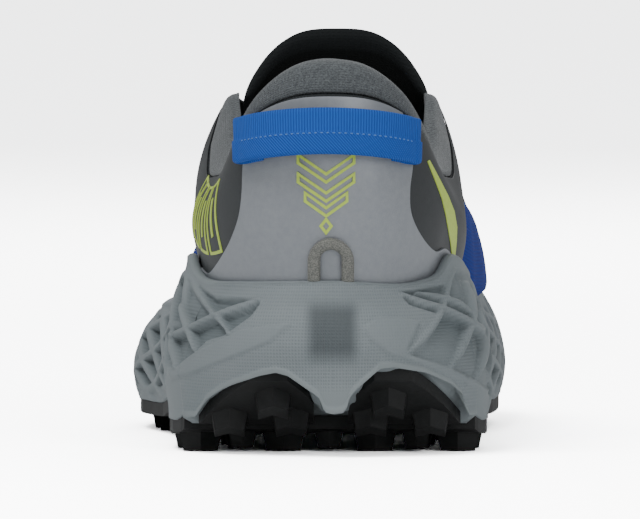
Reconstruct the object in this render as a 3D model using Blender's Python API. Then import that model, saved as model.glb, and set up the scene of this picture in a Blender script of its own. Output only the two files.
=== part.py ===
"""Trail running shoe for the left foot, as an assembly of its real pieces.

+Y is the toe, +X the medial side, +Z up, and the floor is Z = 0. Every form is worked out from
the sizes below and the short tables that follow them, whose entries are shares of those sizes.
A share runs along the shoe from 0 at the heel to 1 at the toe. While the forms are made, X = 0 is
the heel's middle; at the end all of them move so that it is the middle of the whole width.
"""

import math

import bmesh
import bpy
import numpy as np
from mathutils import Matrix, Vector

MM = 0.001

# Sizes of the whole shoe.
LENGTH = 303 * MM
BALL_WIDTH = 113 * MM
HEEL_WIDTH = 98 * MM
COLLAR_HEIGHT = 119 * MM
INSTEP_HEIGHT = 105 * MM
RIM_HEIGHT = 53 * MM
HEEL_STACK = 30 * MM
FOREFOOT_STACK = 24 * MM

# Sizes of single pieces.
GAP = 0.3 * MM
OVERLAY_GAP = 0.6 * MM
LUG_DEPTH = 5 * MM
RUBBER = 4 * MM
RIM_LIP = 4.2 * MM
BOWL_DRAFT = 2.2 * MM
FLARE = 9 * MM
UPPER_WALL = 2.0 * MM
OVERLAY = 0.8 * MM
CAP_OVERLAY = 1.2 * MM
INSOLE = 4 * MM
INSOLE_GAP = 0.5 * MM
INSOLE_CUP = 1.5
INSOLE_BORDER = 9 * MM
COLLAR_PAD = 8.5 * MM
COLLAR_LINING = 30 * MM
COLLAR_SWELL = 2.2 * MM
COLLAR_SWELL_DROP = 13 * MM
COLLAR_PUFF = 0.6 * MM
COLLAR_HEM = 1.6 * MM
TONGUE_PAD = 4.0 * MM
LACE_WIDTH = 6 * MM
LACE_THICKNESS = 1.6 * MM
EYELET_HOLE = 4.4 * MM
EYELET_CUT = 4.5 * MM
POCKET_DEPTH = 2.6 * MM
POCKET_RISE = 1.6 * MM
POCKET_LEAST_SIDE = 0.4 * MM
POCKET_LEAST = 3.8 * MM
POINTS_APART = 0.5 * MM
RIB_WIDTH = 3.4 * MM
HEEL_LIFT = 22 * MM
TOE_LIFT = 24 * MM
ARCH_LIFT = 3 * MM
KEEL_DROP = 14 * MM
KEEL_TIP = 8.4 * MM
KEEL_ROOT = 34 * MM
PULL_TAB_WIDTH = 57 * MM
PULL_TAB_HEIGHT = 12.5 * MM
PULL_TAB_THICKNESS = 1.4 * MM
PULL_TAB_STAND = 3.4 * MM
LOOP_WIDTH = 9.6 * MM
LOOP_HEIGHT = 12.5 * MM
LOOP_BAND = 3.6 * MM
LOOP_THICKNESS = 1.8 * MM
LOOP_START = 0.012
PULL_TAB_MIDDLE = 97.5 * MM
PULL_TAB_BOW = 3.5 * MM

# Ribs of the side: their pitch along the shoe, and how far they lean forward on their way up; the
# crossing ones lean back.
RIB_START = -0.02
RIB_PITCH = 0.062
RIB_LEAN = 0.25
CROSS_PITCH = 0.155
CROSS_LEAN = 0.42
RIB_FOOT = {-1: 0.40, 1: 0.16}
RIB_HEAD = 0.88
RIB_ENDS = {-1: (0.030, 0.93), 1: (0.022, 0.93)}
POCKET_MOUTH = 1.12
POCKET_FLOOR = 0.80

# Where the rocker of the sole starts at either end, and where the rear rubber ends.
HEEL_BEVEL = 0.150
TOE_BEVEL = 0.69
REAR_RUBBER_END = 0.104
MAIN_RUBBER_END = 0.992
STEP_BACK = 0.117
STEP_RUN = 0.0015

STATIONS = 60

# How far the round of the heel and of the toe reaches along the sole, and how full it is.
HEEL_ROUND = 0.21
TOE_ROUND = 0.15
ROUND_POWER = 2.15

# Outline of the sole: share of length, lateral edge, medial edge and centre line in shares of the
# local half width, and the flare of each side wall in shares of FLARE.
PLAN = (
    # share, lateral, medial, centre, lateral_flare, medial_flare
    (0.00, 1.00, 0.99, 0.00, 1.05, 0.95),
    (0.12, 1.01, 0.99, 0.00, 0.92, 0.88),
    (0.25, 1.01, 0.97, 0.00, 0.68, 0.62),
    (0.40, 0.97, 0.88, -0.03, 0.70, 0.50),
    (0.52, 0.97, 0.85, -0.05, 0.84, 0.62),
    (0.62, 1.055, 0.91, -0.04, 0.90, 0.78),
    (0.72, 1.03, 0.94, 0.00, 0.84, 0.80),
    (0.82, 0.87, 0.93, 0.07, 0.78, 0.72),
    (0.92, 0.66, 0.83, 0.12, 0.70, 0.68),
    (1.00, 0.52, 0.72, 0.13, 0.66, 0.66),
)

# The foam nose between the rear rubbers, from behind forwards; it narrows down to a share of its drop,
# and its back is bowed to a radius in shares of its root.
KEEL_TAPER = 0.78
KEEL_BOW = 1.5
KEEL = (
    # back in shares of KEEL_ROOT, drop and depth in the foam in shares of KEEL_DROP
    (0.04, 0.80, 0.43),
    (0.08, 1.00, 0.43),
    (0.41, 1.00, -0.07),
    (0.88, 1.00, -0.30),
)

# Section of the side wall, from the bottom edge at level 0 to the rim at level 1.
WALL = (
    # level, inset in shares of the flare, heel end and toe end set in, in shares of FLARE
    (0.00, 0.14, 0.12, 0.50),
    (0.35, 0.00, 0.00, 0.00),
    (0.72, 0.40, 0.42, 0.36),
    (1.00, 1.00, 1.27, 1.00),
)

# Height of the midsole's rim in shares of RIM_HEIGHT.
RIM = (
    # share, height
    (0.00, 1.000),
    (0.06, 0.985),
    (0.12, 0.970),
    (0.17, 1.045),
    (0.215, 1.140),
    (0.27, 1.050),
    (0.35, 0.930),
    (0.45, 0.820),
    (0.55, 0.745),
    (0.65, 0.710),
    (0.75, 0.725),
    (0.85, 0.800),
    (0.93, 0.890),
    (1.00, 0.950),
)

# Top line of the upper: the collar, then the throat's edge, then the ridge over the toes. Its height
# is a share of COLLAR_HEIGHT plus one of INSTEP_HEIGHT, the rest are shares of half HEEL_WIDTH.
TOP_LINE = (
    # share, collar, instep, lateral, medial, centre
    (0.00, 1.000, 0.000, 0.63, 0.63, 0.00),
    (0.01, 0.985, 0.000, 0.63, 0.63, 0.00),
    (0.04, 0.925, 0.000, 0.63, 0.63, 0.00),
    (0.075, 0.850, 0.000, 0.63, 0.63, 0.00),
    (0.11, 0.780, 0.000, 0.63, 0.63, 0.00),
    (0.16, 0.740, 0.000, 0.645, 0.635, 0.00),
    (0.21, 0.728, 0.000, 0.68, 0.66, 0.00),
    (0.27, 0.600, 0.180, 0.68, 0.67, 0.00),
    (0.33, 0.250, 0.655, 0.660, 0.665, 0.00),
    (0.38, 0.000, 0.998, 0.62, 0.63, 0.00),
    (0.42, 0.000, 0.968, 0.53, 0.55, 0.01),
    (0.50, 0.000, 0.905, 0.405, 0.425, 0.01),
    (0.60, 0.000, 0.838, 0.29, 0.31, 0.01),
    (0.66, 0.000, 0.801, 0.20, 0.22, 0.02),
    (0.70, 0.000, 0.776, 0.00, 0.00, 0.03),
    (0.80, 0.000, 0.721, 0.00, 0.00, 0.07),
    (0.90, 0.000, 0.677, 0.00, 0.00, 0.12),
    (0.96, 0.000, 0.652, 0.00, 0.00, 0.15),
    (1.00, 0.000, 0.632, 0.00, 0.00, 0.16),
)
THROAT_END = 0.70
TOP_HEEL_ROUND = 0.165
TOP_HEEL_SET = 13.5 * MM
TOP_TOE_SET = 33 * MM

# Section of the upper: how much it bulges, how round it closes, and how far the collar's fabric
# comes down outside, in shares of COLLAR_PAD.
UPPER_SECTION = (
    # share, bulge in shares of UPPER_WALL, roundness from a wall to an arch, collar band
    (0.00, 2.0, 0.00, 1.40),
    (0.03, 2.0, 0.00, 1.10),
    (0.08, 1.8, 0.00, 0.55),
    (0.14, 1.8, 0.00, 0.45),
    (0.22, 2.2, 0.00, 0.50),
    (0.30, 2.4, 0.10, 1.30),
    (0.36, 2.2, 0.28, 1.50),
    (0.42, 1.6, 0.45, 1.10),
    (0.52, 1.0, 0.62, 0.0),
    (0.62, 0.4, 0.80, 0.0),
    (0.70, 0.0, 1.00, 0.0),
    (1.00, 0.0, 1.00, 0.0),
)
ARCH_POWER = 2.35
COLLAR_FRONT = 0.385
COLLAR_THIN = 0.36
COLLAR_TAPER = 0.06
LINING_LOW = 0.16

# The heel counter's edges.
COUNTER = (
    # share of its height, lateral and medial half width in shares of half HEEL_WIDTH
    (0.05, 0.735, 0.715),
    (0.14, 0.685, 0.655),
    (0.28, 0.60, 0.545),
    (0.42, 0.545, 0.475),
    (0.56, 0.525, 0.465),
    (0.70, 0.52, 0.48),
    (0.85, 0.50, 0.48),
    (1.00, 0.42, 0.42),
)
COUNTER_SET = 0.012

# Lug rows under the main rubber: places across the sole in shares of its half width.
LUG_FIRST = 0.150
LUG_PITCH = 0.0605
LUG_ROWS = 14
LUG_ACROSS = (
    # up to this share of length, places across
    (0.20, (-0.84, -0.30, 0.30, 0.84)),
    (0.48, (-0.84, 0.84)),
    (0.92, (-0.82, -0.29, 0.25, 0.80)),
    (1.00, (-0.45, 0.45)),
)
LUG_SIZE = 13 * MM
LUG_NOTCH = 0.34
LUG_TAPER = 0.80
LUG_ROOT = 1.2 * MM
REAR_LUG_SIZE = 11 * MM
REAR_LUGS = (
    # share, place between the rubber's two edges
    (0.045, 0.35),
    (0.082, 0.05),
    (0.082, 0.95),
)
POD_START = 0.020
POD_INSET = 5 * MM
WINDOW = (0.19, 0.47, 0.42)

EYELET_SHARES = (0.455, 0.500, 0.545, 0.590, 0.635)
# The cap round the toe, in shares of the length and of the upper's height.
CAP_START = 0.86
CAP_FOOT = 0.03
CAP_HEIGHT = 0.64
CAP_FALL = 0.46

EYELET_EDGE = 6.5 * MM
EYESTAY_WIDTH = 13 * MM
EYESTAY_SPAN = (0.40, 0.78)
EYESTAY_TAPER = 0.85
PEG_SIDES = 6
CROWN_RADIUS = 34 * MM

# The tongue: how far it reaches under the throat's edge at its two ends, and its free end over
# the collar, in shares of TONGUE_RISE and, for its width, of half HEEL_WIDTH.
TONGUE_SPAN = (0.69, 0.42)
TONGUE_TUCK = (5 * MM, 2 * MM)
TONGUE_RISE = 15 * MM
TONGUE_ARCH = 3.2
TONGUE_CLEAR = 0.9 * MM
TONGUE_TOP = (
    # back, rise, half width, fall at its edges, edges forward
    (0.45, 0.45, 0.520, 0.95, 0.20),
    (0.80, 0.85, 0.540, 1.15, 0.30),
    (1.05, 1.08, 0.540, 1.22, 0.35),
)


# Curves read from the tables.
def column(table, index):
    return np.array([row[index] for row in table], float)


def smooth(at, knots, values):
    """A smooth curve through the table's points, flat at both ends."""
    at = np.asarray(at, float)
    slopes = np.gradient(values, knots)
    slopes[0] = slopes[-1] = 0.0
    place = np.clip(np.searchsorted(knots, at, side="right") - 1, 0, len(knots) - 2)
    width = knots[place + 1] - knots[place]
    part = np.clip((at - knots[place]) / width, 0.0, 1.0)
    low, high = values[place], values[place + 1]
    rise = 3 * part**2 - 2 * part**3
    ease_in = part**3 - 2 * part**2 + part
    ease_out = part**3 - part**2
    curve = low + (high - low) * rise
    return curve + width * (slopes[place] * ease_in + slopes[place + 1] * ease_out)


def turn_of(share):
    """Shares bunch towards both ends when they are read as a turn from 0 to pi."""
    return np.arccos(np.clip(1 - 2 * np.asarray(share, float), -1, 1))


def share_of(turn):
    return (1 - np.cos(turn)) / 2


def along(table, index, turn):
    return smooth(turn, turn_of(column(table, 0)), column(table, index))


def fold(angle):
    """An angle runs from the heel along the lateral side to the toe and back along the medial."""
    angle = np.mod(np.asarray(angle, float), 2 * math.pi)
    lateral = angle <= math.pi
    return np.where(lateral, angle, 2 * math.pi - angle), np.where(lateral, -1.0, 1.0)


def angle_at(share, side):
    turn = turn_of(share)
    return np.where(np.asarray(side) < 0, turn, 2 * math.pi - turn)


def end_round(share, heel, toe, power):
    """From 0 at both ends to 1 where the outline runs straight."""
    rounding = 1.0
    for reach, away in ((heel, share), (toe, 1 - share)):
        if reach:
            near = np.clip(1 - away / reach, 0, 1)
            rounding = rounding * (1 - near**power) ** (1 / power)
    return rounding


def half_width(share):
    part = np.clip((share - 0.30) / 0.30, 0, 1)
    part = part * part * (3 - 2 * part)
    return (HEEL_WIDTH + (BALL_WIDTH - HEEL_WIDTH) * part) / 2


# The sole's rocker and levels.
def rocker(y):
    """Height of the lugs' tips over the floor."""
    share = np.asarray(y, float) / LENGTH + 0.5
    heel = HEEL_LIFT * np.clip(1 - share / HEEL_BEVEL, 0, 1) ** 1.5
    toe = TOE_LIFT * np.clip((share - TOE_BEVEL) / (1 - TOE_BEVEL), 0, 1) ** 2
    waist = np.clip((share - 0.30) / 0.22, 0, 1)
    return heel + toe + ARCH_LIFT * np.sin(waist * math.pi) ** 2


def sole_bottom(y):
    """Underside of the foam: level with the rear rubber, and over the main rubber."""
    share = np.asarray(y, float) / LENGTH + 0.5
    return rocker(y) + LUG_DEPTH + np.where(share > STEP_BACK, RUBBER + GAP, 0.0)


def sole_wall(angle, level, inset=0.0):
    """A point of the midsole's side, moved inwards by inset."""
    turn, side = fold(angle)
    share = share_of(turn)
    levels = column(WALL, 0)
    heel_end = -LENGTH / 2 + smooth(level, levels, column(WALL, 2)) * FLARE + inset
    toe_end = LENGTH / 2 - smooth(level, levels, column(WALL, 3)) * FLARE - inset
    y = heel_end + (toe_end - heel_end) * share
    half = half_width(share)
    centre = along(PLAN, 3, turn) * half
    lateral, medial = (along(PLAN, i, turn) * half for i in (1, 2))
    flares = np.where(side < 0, along(PLAN, 4, turn), along(PLAN, 5, turn)) * FLARE
    edge = np.where(side < 0, lateral, medial)
    edge = edge - flares * smooth(level, levels, column(WALL, 1)) - inset
    reach = edge - side * centre
    x = centre + side * reach * end_round(share, HEEL_ROUND, TOE_ROUND, ROUND_POWER)
    bottom = sole_bottom(y)
    rim = along(RIM, 1, turn) * RIM_HEIGHT
    return np.stack([x, y, bottom + (rim - bottom) * level], -1)


def bed_height(y):
    """Top of the foam under the insole."""
    share = np.asarray(y, float) / LENGTH + 0.5
    part = np.clip((share - 0.15) / 0.5, 0, 1)
    part = part * part * (3 - 2 * part)
    toe = TOE_LIFT * np.clip((share - TOE_BEVEL) / (1 - TOE_BEVEL), 0, 1) ** 2
    return HEEL_STACK + (FOREFOOT_STACK - HEEL_STACK) * part + toe


def bed_edge(angle, inset=0.0):
    """The edge of the bed inside the midsole's bowl."""
    point = sole_wall(angle, 1.0, RIM_LIP + BOWL_DRAFT + inset)
    point[..., 2] = bed_height(point[..., 1])
    return point


# The upper's surface.
def top_line(angle):
    turn, side = fold(angle)
    share = share_of(turn)
    heel_end = -LENGTH / 2 + TOP_HEEL_SET
    toe_end = LENGTH / 2 - TOP_TOE_SET
    half = np.where(side < 0, along(TOP_LINE, 3, turn), along(TOP_LINE, 4, turn))
    half = np.where(share < THROAT_END, np.clip(half, 0, None), 0.0)
    centre = along(TOP_LINE, 5, turn) * HEEL_WIDTH / 2
    x = centre + side * half * HEEL_WIDTH / 2 * end_round(share, TOP_HEEL_ROUND, 0.0, ROUND_POWER)
    height = along(TOP_LINE, 1, turn) * COLLAR_HEIGHT + along(TOP_LINE, 2, turn) * INSTEP_HEIGHT
    return np.stack([x, heel_end + (toe_end - heel_end) * share, height], -1)


def upper_skin(angle, level, depth=0.0):
    """Outer face of the upper: level -1 at the bed, 0 at the midsole's rim, 1 at the top line.

    A depth moves the point inwards, square to the face.
    """
    angle, level = np.broadcast_arrays(np.asarray(angle, float), np.asarray(level, float))
    if np.any(depth):
        step = 1e-3
        around = upper_skin(angle + step, level) - upper_skin(angle - step, level)
        low = np.clip(level - step, -1, 1)
        high = np.clip(level + step, -1, 1)
        rise = upper_skin(angle, high) - upper_skin(angle, low)
        square = np.cross(rise, around)
        square = square / np.maximum(np.linalg.norm(square, axis=-1, keepdims=True), 1e-12)
        return upper_skin(angle, level) - square * np.asarray(depth)[..., None]
    turn, side = fold(angle)
    rim = sole_wall(angle, 1.0, RIM_LIP)
    bed = bed_edge(angle)
    top = top_line(angle)
    part = np.clip(level, 0, 1)
    arch = np.clip(along(UPPER_SECTION, 2, turn), 0, 1)
    swing = part * math.pi / 2
    arch_in = 1 - np.cos(swing) ** (2 / ARCH_POWER)
    arch_up = np.sin(swing) ** (2 / ARCH_POWER)
    inward = (part**1.35) * (1 - arch) + arch_in * arch
    upward = part * (1 - arch) + arch_up * arch
    point = rim + (top - rim) * np.stack([inward, inward, upward], -1)
    bulge = along(UPPER_SECTION, 1, turn) * UPPER_WALL * np.sin(part * math.pi) ** 1.2
    share = share_of(turn)
    outward = np.stack([side * np.sqrt(np.clip(1 - np.clip(1 - share / 0.2, 0, 1) ** 2, 0, 1)),
                        -np.clip(1 - share / 0.2, 0, 1), np.zeros_like(share)], -1)
    point = point + outward * bulge[..., None]
    below = np.clip(-level, 0, 1)[..., None]
    return point + (bed - rim) * below


def seam_level(angle):
    """Where the upper's wall stops: under the collar's fabric, and at the throat's edge."""
    turn, _ = fold(angle)
    share = share_of(turn)
    band = np.clip(along(UPPER_SECTION, 3, turn), 0, None) * COLLAR_PAD
    band = band * np.clip((COLLAR_FRONT + COLLAR_TAPER / 4 - share) / COLLAR_TAPER, 0, 1)
    rim = sole_wall(angle, 1.0)[..., 2]
    return 1 - band / (top_line(angle)[..., 2] - rim)


def level_under(angle, drop):
    """The level that lies a drop below the top line."""
    rim = sole_wall(angle, 1.0)[..., 2]
    return 1 - drop / (top_line(angle)[..., 2] - rim)


def bisect(low, high, stays_low):
    """The place between two bounds at which a test changes, for whole arrays at once."""
    for _ in range(26):
        middle = (low + high) / 2
        below = stays_low(middle)
        low, high = np.where(below, middle, low), np.where(below, high, middle)
    return (low + high) / 2


def level_at_x(angle, x):
    """The level at which one side of the upper is this far from the middle."""
    angle = np.asarray(angle, float)
    zero = np.zeros_like(angle)
    return bisect(zero, zero + 1, lambda level: np.abs(upper_skin(angle, level)[..., 0]) > x)


def level_at_z(angle, z):
    """The level at which the upper's face is this high."""
    angle = np.asarray(angle, float)
    zero = np.zeros_like(angle)
    return bisect(zero, zero + 1, lambda level: upper_skin(angle, level)[..., 2] < z)


def level_beside(angle, width):
    """The level that lies this far from the top line over the upper's face."""
    angle = np.asarray(angle, float)
    zero = np.zeros_like(angle)
    top = upper_skin(angle, 1.0)
    return bisect(zero, zero + 1,
                  lambda level: np.linalg.norm(upper_skin(angle, level) - top, axis=-1) > width)


def angle_at_x(level, x):
    """The angle behind the ankle at which a level line is at this x."""
    level, x = np.broadcast_arrays(np.asarray(level, float), np.asarray(x, float))
    side = np.where(x < 0, 1.0, -1.0)
    zero = np.zeros_like(x)
    turn = bisect(zero, zero + turn_of(0.30),
                  lambda turn: np.abs(upper_skin(turn * side, level)[..., 0]) < np.abs(x))
    return turn * side


# Building blocks.
def material(name, colour, roughness, metallic=0.0):
    made = bpy.data.materials.new(name)
    made.use_nodes = True
    shader = made.node_tree.nodes["Principled BSDF"]
    shader.inputs["Base Color"].default_value = (*colour, 1.0)
    shader.inputs["Roughness"].default_value = roughness
    shader.inputs["Metallic"].default_value = metallic
    made.diffuse_color = (*colour, 1.0)
    return made


def add_object(name, points, faces, finish, closed=True, bent=None):
    """A mesh object with shared points merged; a closed one gets its faces pointing out. A sheet is
    cut into triangles, and so are the faces that bent picks, so that they have one shape however
    they are read."""
    mesh = bpy.data.meshes.new(name)
    form = bmesh.new()
    corners = [form.verts.new(Vector(p)) for p in points]
    for face in faces:
        form.faces.new([corners[i] for i in face])
    bmesh.ops.remove_doubles(form, verts=form.verts, dist=2e-5)
    bmesh.ops.dissolve_degenerate(form, dist=1e-6, edges=form.edges)
    if closed:
        bmesh.ops.recalc_face_normals(form, faces=form.faces)
    if bent or not closed:
        bmesh.ops.triangulate(form, faces=[face for face in form.faces if not closed or bent(face)])
    form.to_mesh(mesh)
    form.free()
    mesh.shade_smooth()
    mesh.set_sharp_from_angle(angle=math.radians(35))
    made = bpy.data.objects.new(name, mesh)
    if finish:
        mesh.materials.append(finish)
    bpy.context.scene.collection.objects.link(made)
    return made


def sheet_faces(rows, columns, wrap=False, left_out=-1):
    """Faces of a grid of points stored row by row, one column of them left out at will."""
    faces = []
    for r in range(rows - 1):
        for c in range(columns if wrap else columns - 1):
            if c == left_out:
                continue
            d = (c + 1) % columns
            faces.append((r * columns + c, r * columns + d, (r + 1) * columns + d, (r + 1) * columns + c))
    return faces


def tube(name, sections, finish, round_trip=False, bent=None):
    """A solid through closed sections of equal count, capped at both ends unless it closes."""
    count = len(sections[0])
    rows = len(sections)
    faces = sheet_faces(rows, count, wrap=True)
    if round_trip:
        last = (rows - 1) * count
        faces += [(last + c, last + (c + 1) % count, (c + 1) % count, c) for c in range(count)]
    else:
        faces.append(tuple(range(count)))
        faces.append(tuple((rows - 1) * count + c for c in range(count)))
    return add_object(name, np.concatenate(sections), faces, finish, bent=bent)


def skin(name, rows, thickness, finish, wrap=False, outward=True, left_out=-1):
    """A sheet, its rows upwards and each from heel to toe, given its thickness to one side."""
    rows = np.asarray(rows)
    faces = [face[::-1] for face in sheet_faces(rows.shape[0], rows.shape[1], wrap, left_out)]
    made = add_object(name, rows.reshape(-1, 3), faces, finish, closed=False)
    solid = made.modifiers.new("thickness", "SOLIDIFY")
    solid.thickness = thickness
    solid.offset = 1.0 if outward else -1.0
    return made


def boolean(target, tool, operation):
    tool.hide_render = True
    tool.display_type = "WIRE"
    cut = target.modifiers.new(operation.lower(), "BOOLEAN")
    cut.operation = operation
    cut.solver = "EXACT"
    cut.object = tool
    return cut


def stations():
    """Turns of the sections along one side, with two close together at the rubber's step."""
    turns = np.linspace(0, math.pi, STATIONS // 2 + 1)
    ends = sole_wall(np.array([0.0, math.pi]), 0.0)[:, 1]
    steps = (np.array([STEP_BACK - STEP_RUN, STEP_BACK + STEP_RUN]) - 0.5) * LENGTH
    steps = turn_of((steps - ends[0]) / (ends[1] - ends[0]))
    near = np.abs(turns[:, None] - steps).min(axis=1) < 0.3 * math.pi * 2 / STATIONS
    return np.sort(np.concatenate([turns[~near], steps]))


def full_round():
    """Angles of all sections, once round the shoe."""
    turns = stations()
    return np.concatenate([turns, 2 * math.pi - turns[-2:0:-1]])


# Midsole.
def rib_cells(side):
    """The hollows between two crossing sets of ribs, as corners in share of length and level."""
    cells = []
    for i in range(-8, 20):
        for j in range(0, 14):
            corners = []
            for a, b in ((i, j), (i + 1, j), (i + 1, j + 1), (i, j + 1)):
                first, second = RIB_START + RIB_PITCH * a, RIB_START + CROSS_PITCH * b
                level = (second - first) / (RIB_LEAN + CROSS_LEAN)
                corners.append((first + RIB_LEAN * level, level))
            corners = clip_to(corners, 1, RIB_FOOT[side], RIB_HEAD)
            corners = clip_to(corners, 0, *RIB_ENDS[side])
            if len(corners) > 2:
                cells.append(corners)
    return cells


def clip_to(corners, axis, low, high):
    """The part of a flat shape between two straight limits."""
    for limit, sign in ((low, 1), (high, -1)):
        kept = []
        for k, here in enumerate(corners):
            before = corners[k - 1]
            inside, was = (sign * (p[axis] - limit) >= 0 for p in (here, before))
            if inside != was:
                part = (limit - before[axis]) / (here[axis] - before[axis])
                kept.append(tuple(b + (h - b) * part for b, h in zip(before, here)))
            if inside:
                kept.append(here)
        corners = kept
    return corners


def shrink(corners, amount):
    """A flat convex shape with each side moved in; empty where nothing is left."""
    corners = [np.array(p) for k, p in enumerate(corners)
               if np.linalg.norm(np.subtract(p, corners[k - 1])) > POINTS_APART]
    count = len(corners)
    if count < 3:
        return []
    area = sum(np.cross(corners[k - 1], corners[k]) for k in range(count)) / 2
    lines = []
    for k in range(count):
        run = corners[(k + 1) % count] - corners[k]
        run = run / np.linalg.norm(run)
        inward = np.array([-run[1], run[0]]) * math.copysign(1, area)
        lines.append((corners[k] + inward * amount, run, inward))
    moved = []
    for k in range(count):
        (p, d, _), (q, e, _) = lines[k - 1], lines[k]
        across = d[0] * e[1] - d[1] * e[0]
        if abs(across) < 0.15:
            return []
        part = ((q - p)[0] * e[1] - (q - p)[1] * e[0]) / across
        moved.append(p + d * part)
    if any(np.dot(m - line[0], line[2]) < POCKET_LEAST_SIDE for m in moved for line in lines
           if abs(np.dot(m - line[0], line[2])) > 1e-9):
        return []
    left = sum(np.cross(moved[k - 1], moved[k]) for k in range(count)) / 2
    return moved if left * area > 0 and abs(left) > POCKET_LEAST**2 else []


def wall_normal(angle, level):
    step = 1e-3
    around = sole_wall(angle + step, level) - sole_wall(angle - step, level)
    rise = sole_wall(angle, level + step) - sole_wall(angle, level - step)
    square = np.cross(rise, around)
    return square / np.linalg.norm(square, axis=-1, keepdims=True)


def make_pockets():
    """One object of all hollows that are cut into the midsole's side."""
    points, faces = [], []
    for side in (-1, 1):
        for cell in rib_cells(side):
            middle = np.mean(cell, axis=0)
            tall = np.diff(sole_wall(angle_at(middle[0], side), np.array([0.0, 1.0]))[:, 2])[0]
            mouth = shrink([(u * LENGTH, v * tall) for u, v in cell], RIB_WIDTH / 2)
            if not len(mouth):
                continue
            mouth = np.array(mouth)
            centre = mouth.mean(axis=0)
            base = len(points)
            count = len(mouth)
            for grow, out in ((POCKET_MOUTH, POCKET_RISE), (POCKET_FLOOR, -POCKET_DEPTH)):
                u, v = (centre + (mouth - centre) * grow).T
                angle = angle_at(u / LENGTH, side)
                points.extend(sole_wall(angle, v / tall) + wall_normal(angle, v / tall) * out)
            faces += prism_faces(base, count)
    return add_object("pocket_cutter", points, faces, None)


def prism_faces(base, count):
    """Faces of a solid between two rings of points, the second stored after the first."""
    faces = [tuple(base + k for k in range(count)), tuple(base + count + k for k in range(count))]
    for k in range(count):
        after = (k + 1) % count
        faces.append((base + k, base + after, base + count + after, base + count + k))
    return faces


def keel_half(drop):
    """Half width of the heel keel at a share of its drop, 0 at the root and 1 at the tip."""
    return (KEEL_ROOT + (KEEL_TIP - KEEL_ROOT) * np.minimum(drop / KEEL_TAPER, 1)) / 2


def make_keel():
    """The foam nose between the two rear rubbers, flush with the back of the heel."""
    rear = -LENGTH / 2
    sections = []
    foot = LUG_DEPTH + HEEL_LIFT
    for back, sink, bury in KEEL:
        y = rear + back * KEEL_ROOT
        root = foot + bury * KEEL_DROP
        bottom = foot - KEEL_DROP * sink
        ring = []
        for drop in (0.0, 0.5, KEEL_TAPER, 1.0):
            z = root + (bottom - root) * drop
            ring.append((drop, z))
        outline = [(-keel_half(d), z) for d, z in ring] + [(keel_half(d), z) for d, z in reversed(ring)]
        bow = [x * x / (2 * KEEL_BOW * KEEL_ROOT) if back < 0.1 else 0.0 for x, _ in outline]
        sections.append(np.array([(x, y + b, z) for (x, z), b in zip(outline, bow)]))
    return tube("keel_form", sections, None, bent=lambda face: len(face.verts) > 4)


def make_midsole(finish):
    """The foam: its side, its lip round the upper and the bowl that the insole lies in."""
    angles = full_round()
    clear = OVERLAY + OVERLAY_GAP + GAP
    rings = [sole_wall(angles, level) for level in (0.0, 0.2, 0.45, 0.75, 1.0)]
    rings.append(sole_wall(angles, 1.0, RIM_LIP - clear))
    rings.append(bed_edge(angles, -clear))
    rings.insert(0, on_centre_line(rings[0]))
    rings.append(on_centre_line(rings[-1]))
    heel_wall = (HEEL_BEVEL - 0.5) * LENGTH
    body = add_object("midsole", np.concatenate(rings), sheet_faces(len(rings), len(angles), wrap=True), finish,
                      bent=lambda face: max(corner.co.y for corner in face.verts) < heel_wall)
    boolean(body, make_keel(), "UNION")
    boolean(body, make_pockets(), "DIFFERENCE")
    for side, name in ((-1, "lateral"), (1, "medial")):
        boolean(body, make_pod_plate(f"recess_{name}", side, GAP, None), "DIFFERENCE")
    return body


def on_centre_line(ring):
    """The same ring drawn together midway between its two sides."""
    line = ring.copy()
    line[:, 0] = (ring[:, 0] + np.roll(ring[::-1, 0], 1)) / 2
    return line


# Rubber.
def pod_span(share, side):
    """Inner and outer edge of a rear rubber at a place along the sole."""
    y = -LENGTH / 2 + share * LENGTH
    outer = abs(sole_wall(angle_at(share + 0.012, side), 0.0, POD_INSET)[0])
    drop = (rocker(-LENGTH / 2) - rocker(y)) / KEEL_DROP
    inner = keel_half(np.clip(drop, 0, 1)) + 3 * GAP
    return min(float(inner), outer - POD_INSET), float(outer)


def make_pod_plate(name, side, grow, finish):
    """One of the two rear rubbers, let into the heel's bevel; grow widens it into its recess."""
    rows = []
    for share, shift in zip(np.linspace(POD_START, REAR_RUBBER_END, 7), (-1, 0, 0, 0, 0, 0, 1)):
        inner, outer = pod_span(share, side)
        y = -LENGTH / 2 + share * LENGTH + grow * shift
        rows.append([(side * x, y) for x in np.linspace(inner - grow, outer + grow, 5)])
    under = LUG_DEPTH - (2 * MM if grow else 0)
    bottom = [[(x, y, rocker(y) + under) for x, y in row] for row in rows]
    top = [[(x, y, rocker(y) + LUG_DEPTH + RUBBER - GAP + grow) for x, y in row] for row in rows]
    return slab(name, np.array(bottom), np.array(top), finish)


def slab(name, bottom, top, finish, holes=()):
    """A solid between two grids of points, with some of the grid's cells left out."""
    count_r, count_c = bottom.shape[:2]
    total = count_r * count_c
    cells = {(r, c) for r in range(count_r - 1) for c in range(count_c - 1)} - set(holes)
    faces = []
    for r, c in sorted(cells):
        ring = [(r, c), (r, c + 1), (r + 1, c + 1), (r + 1, c)]
        ids = [a * count_c + b for a, b in ring]
        faces.append(tuple(ids))
        faces.append(tuple(i + total for i in reversed(ids)))
        beside = [(r - 1, c), (r, c + 1), (r + 1, c), (r, c - 1)]
        for k, other in enumerate(beside):
            if other not in cells:
                p, q = ids[k], ids[(k + 1) % 4]
                faces.append((q, p, p + total, q + total))
    points = np.concatenate([bottom.reshape(-1, 3), top.reshape(-1, 3)])
    used = sorted({i for face in faces for i in face})
    renumber = {old: new for new, old in enumerate(used)}
    faces = [tuple(renumber[i] for i in face) for face in faces]
    return add_object(name, points[used], faces, finish)


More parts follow.
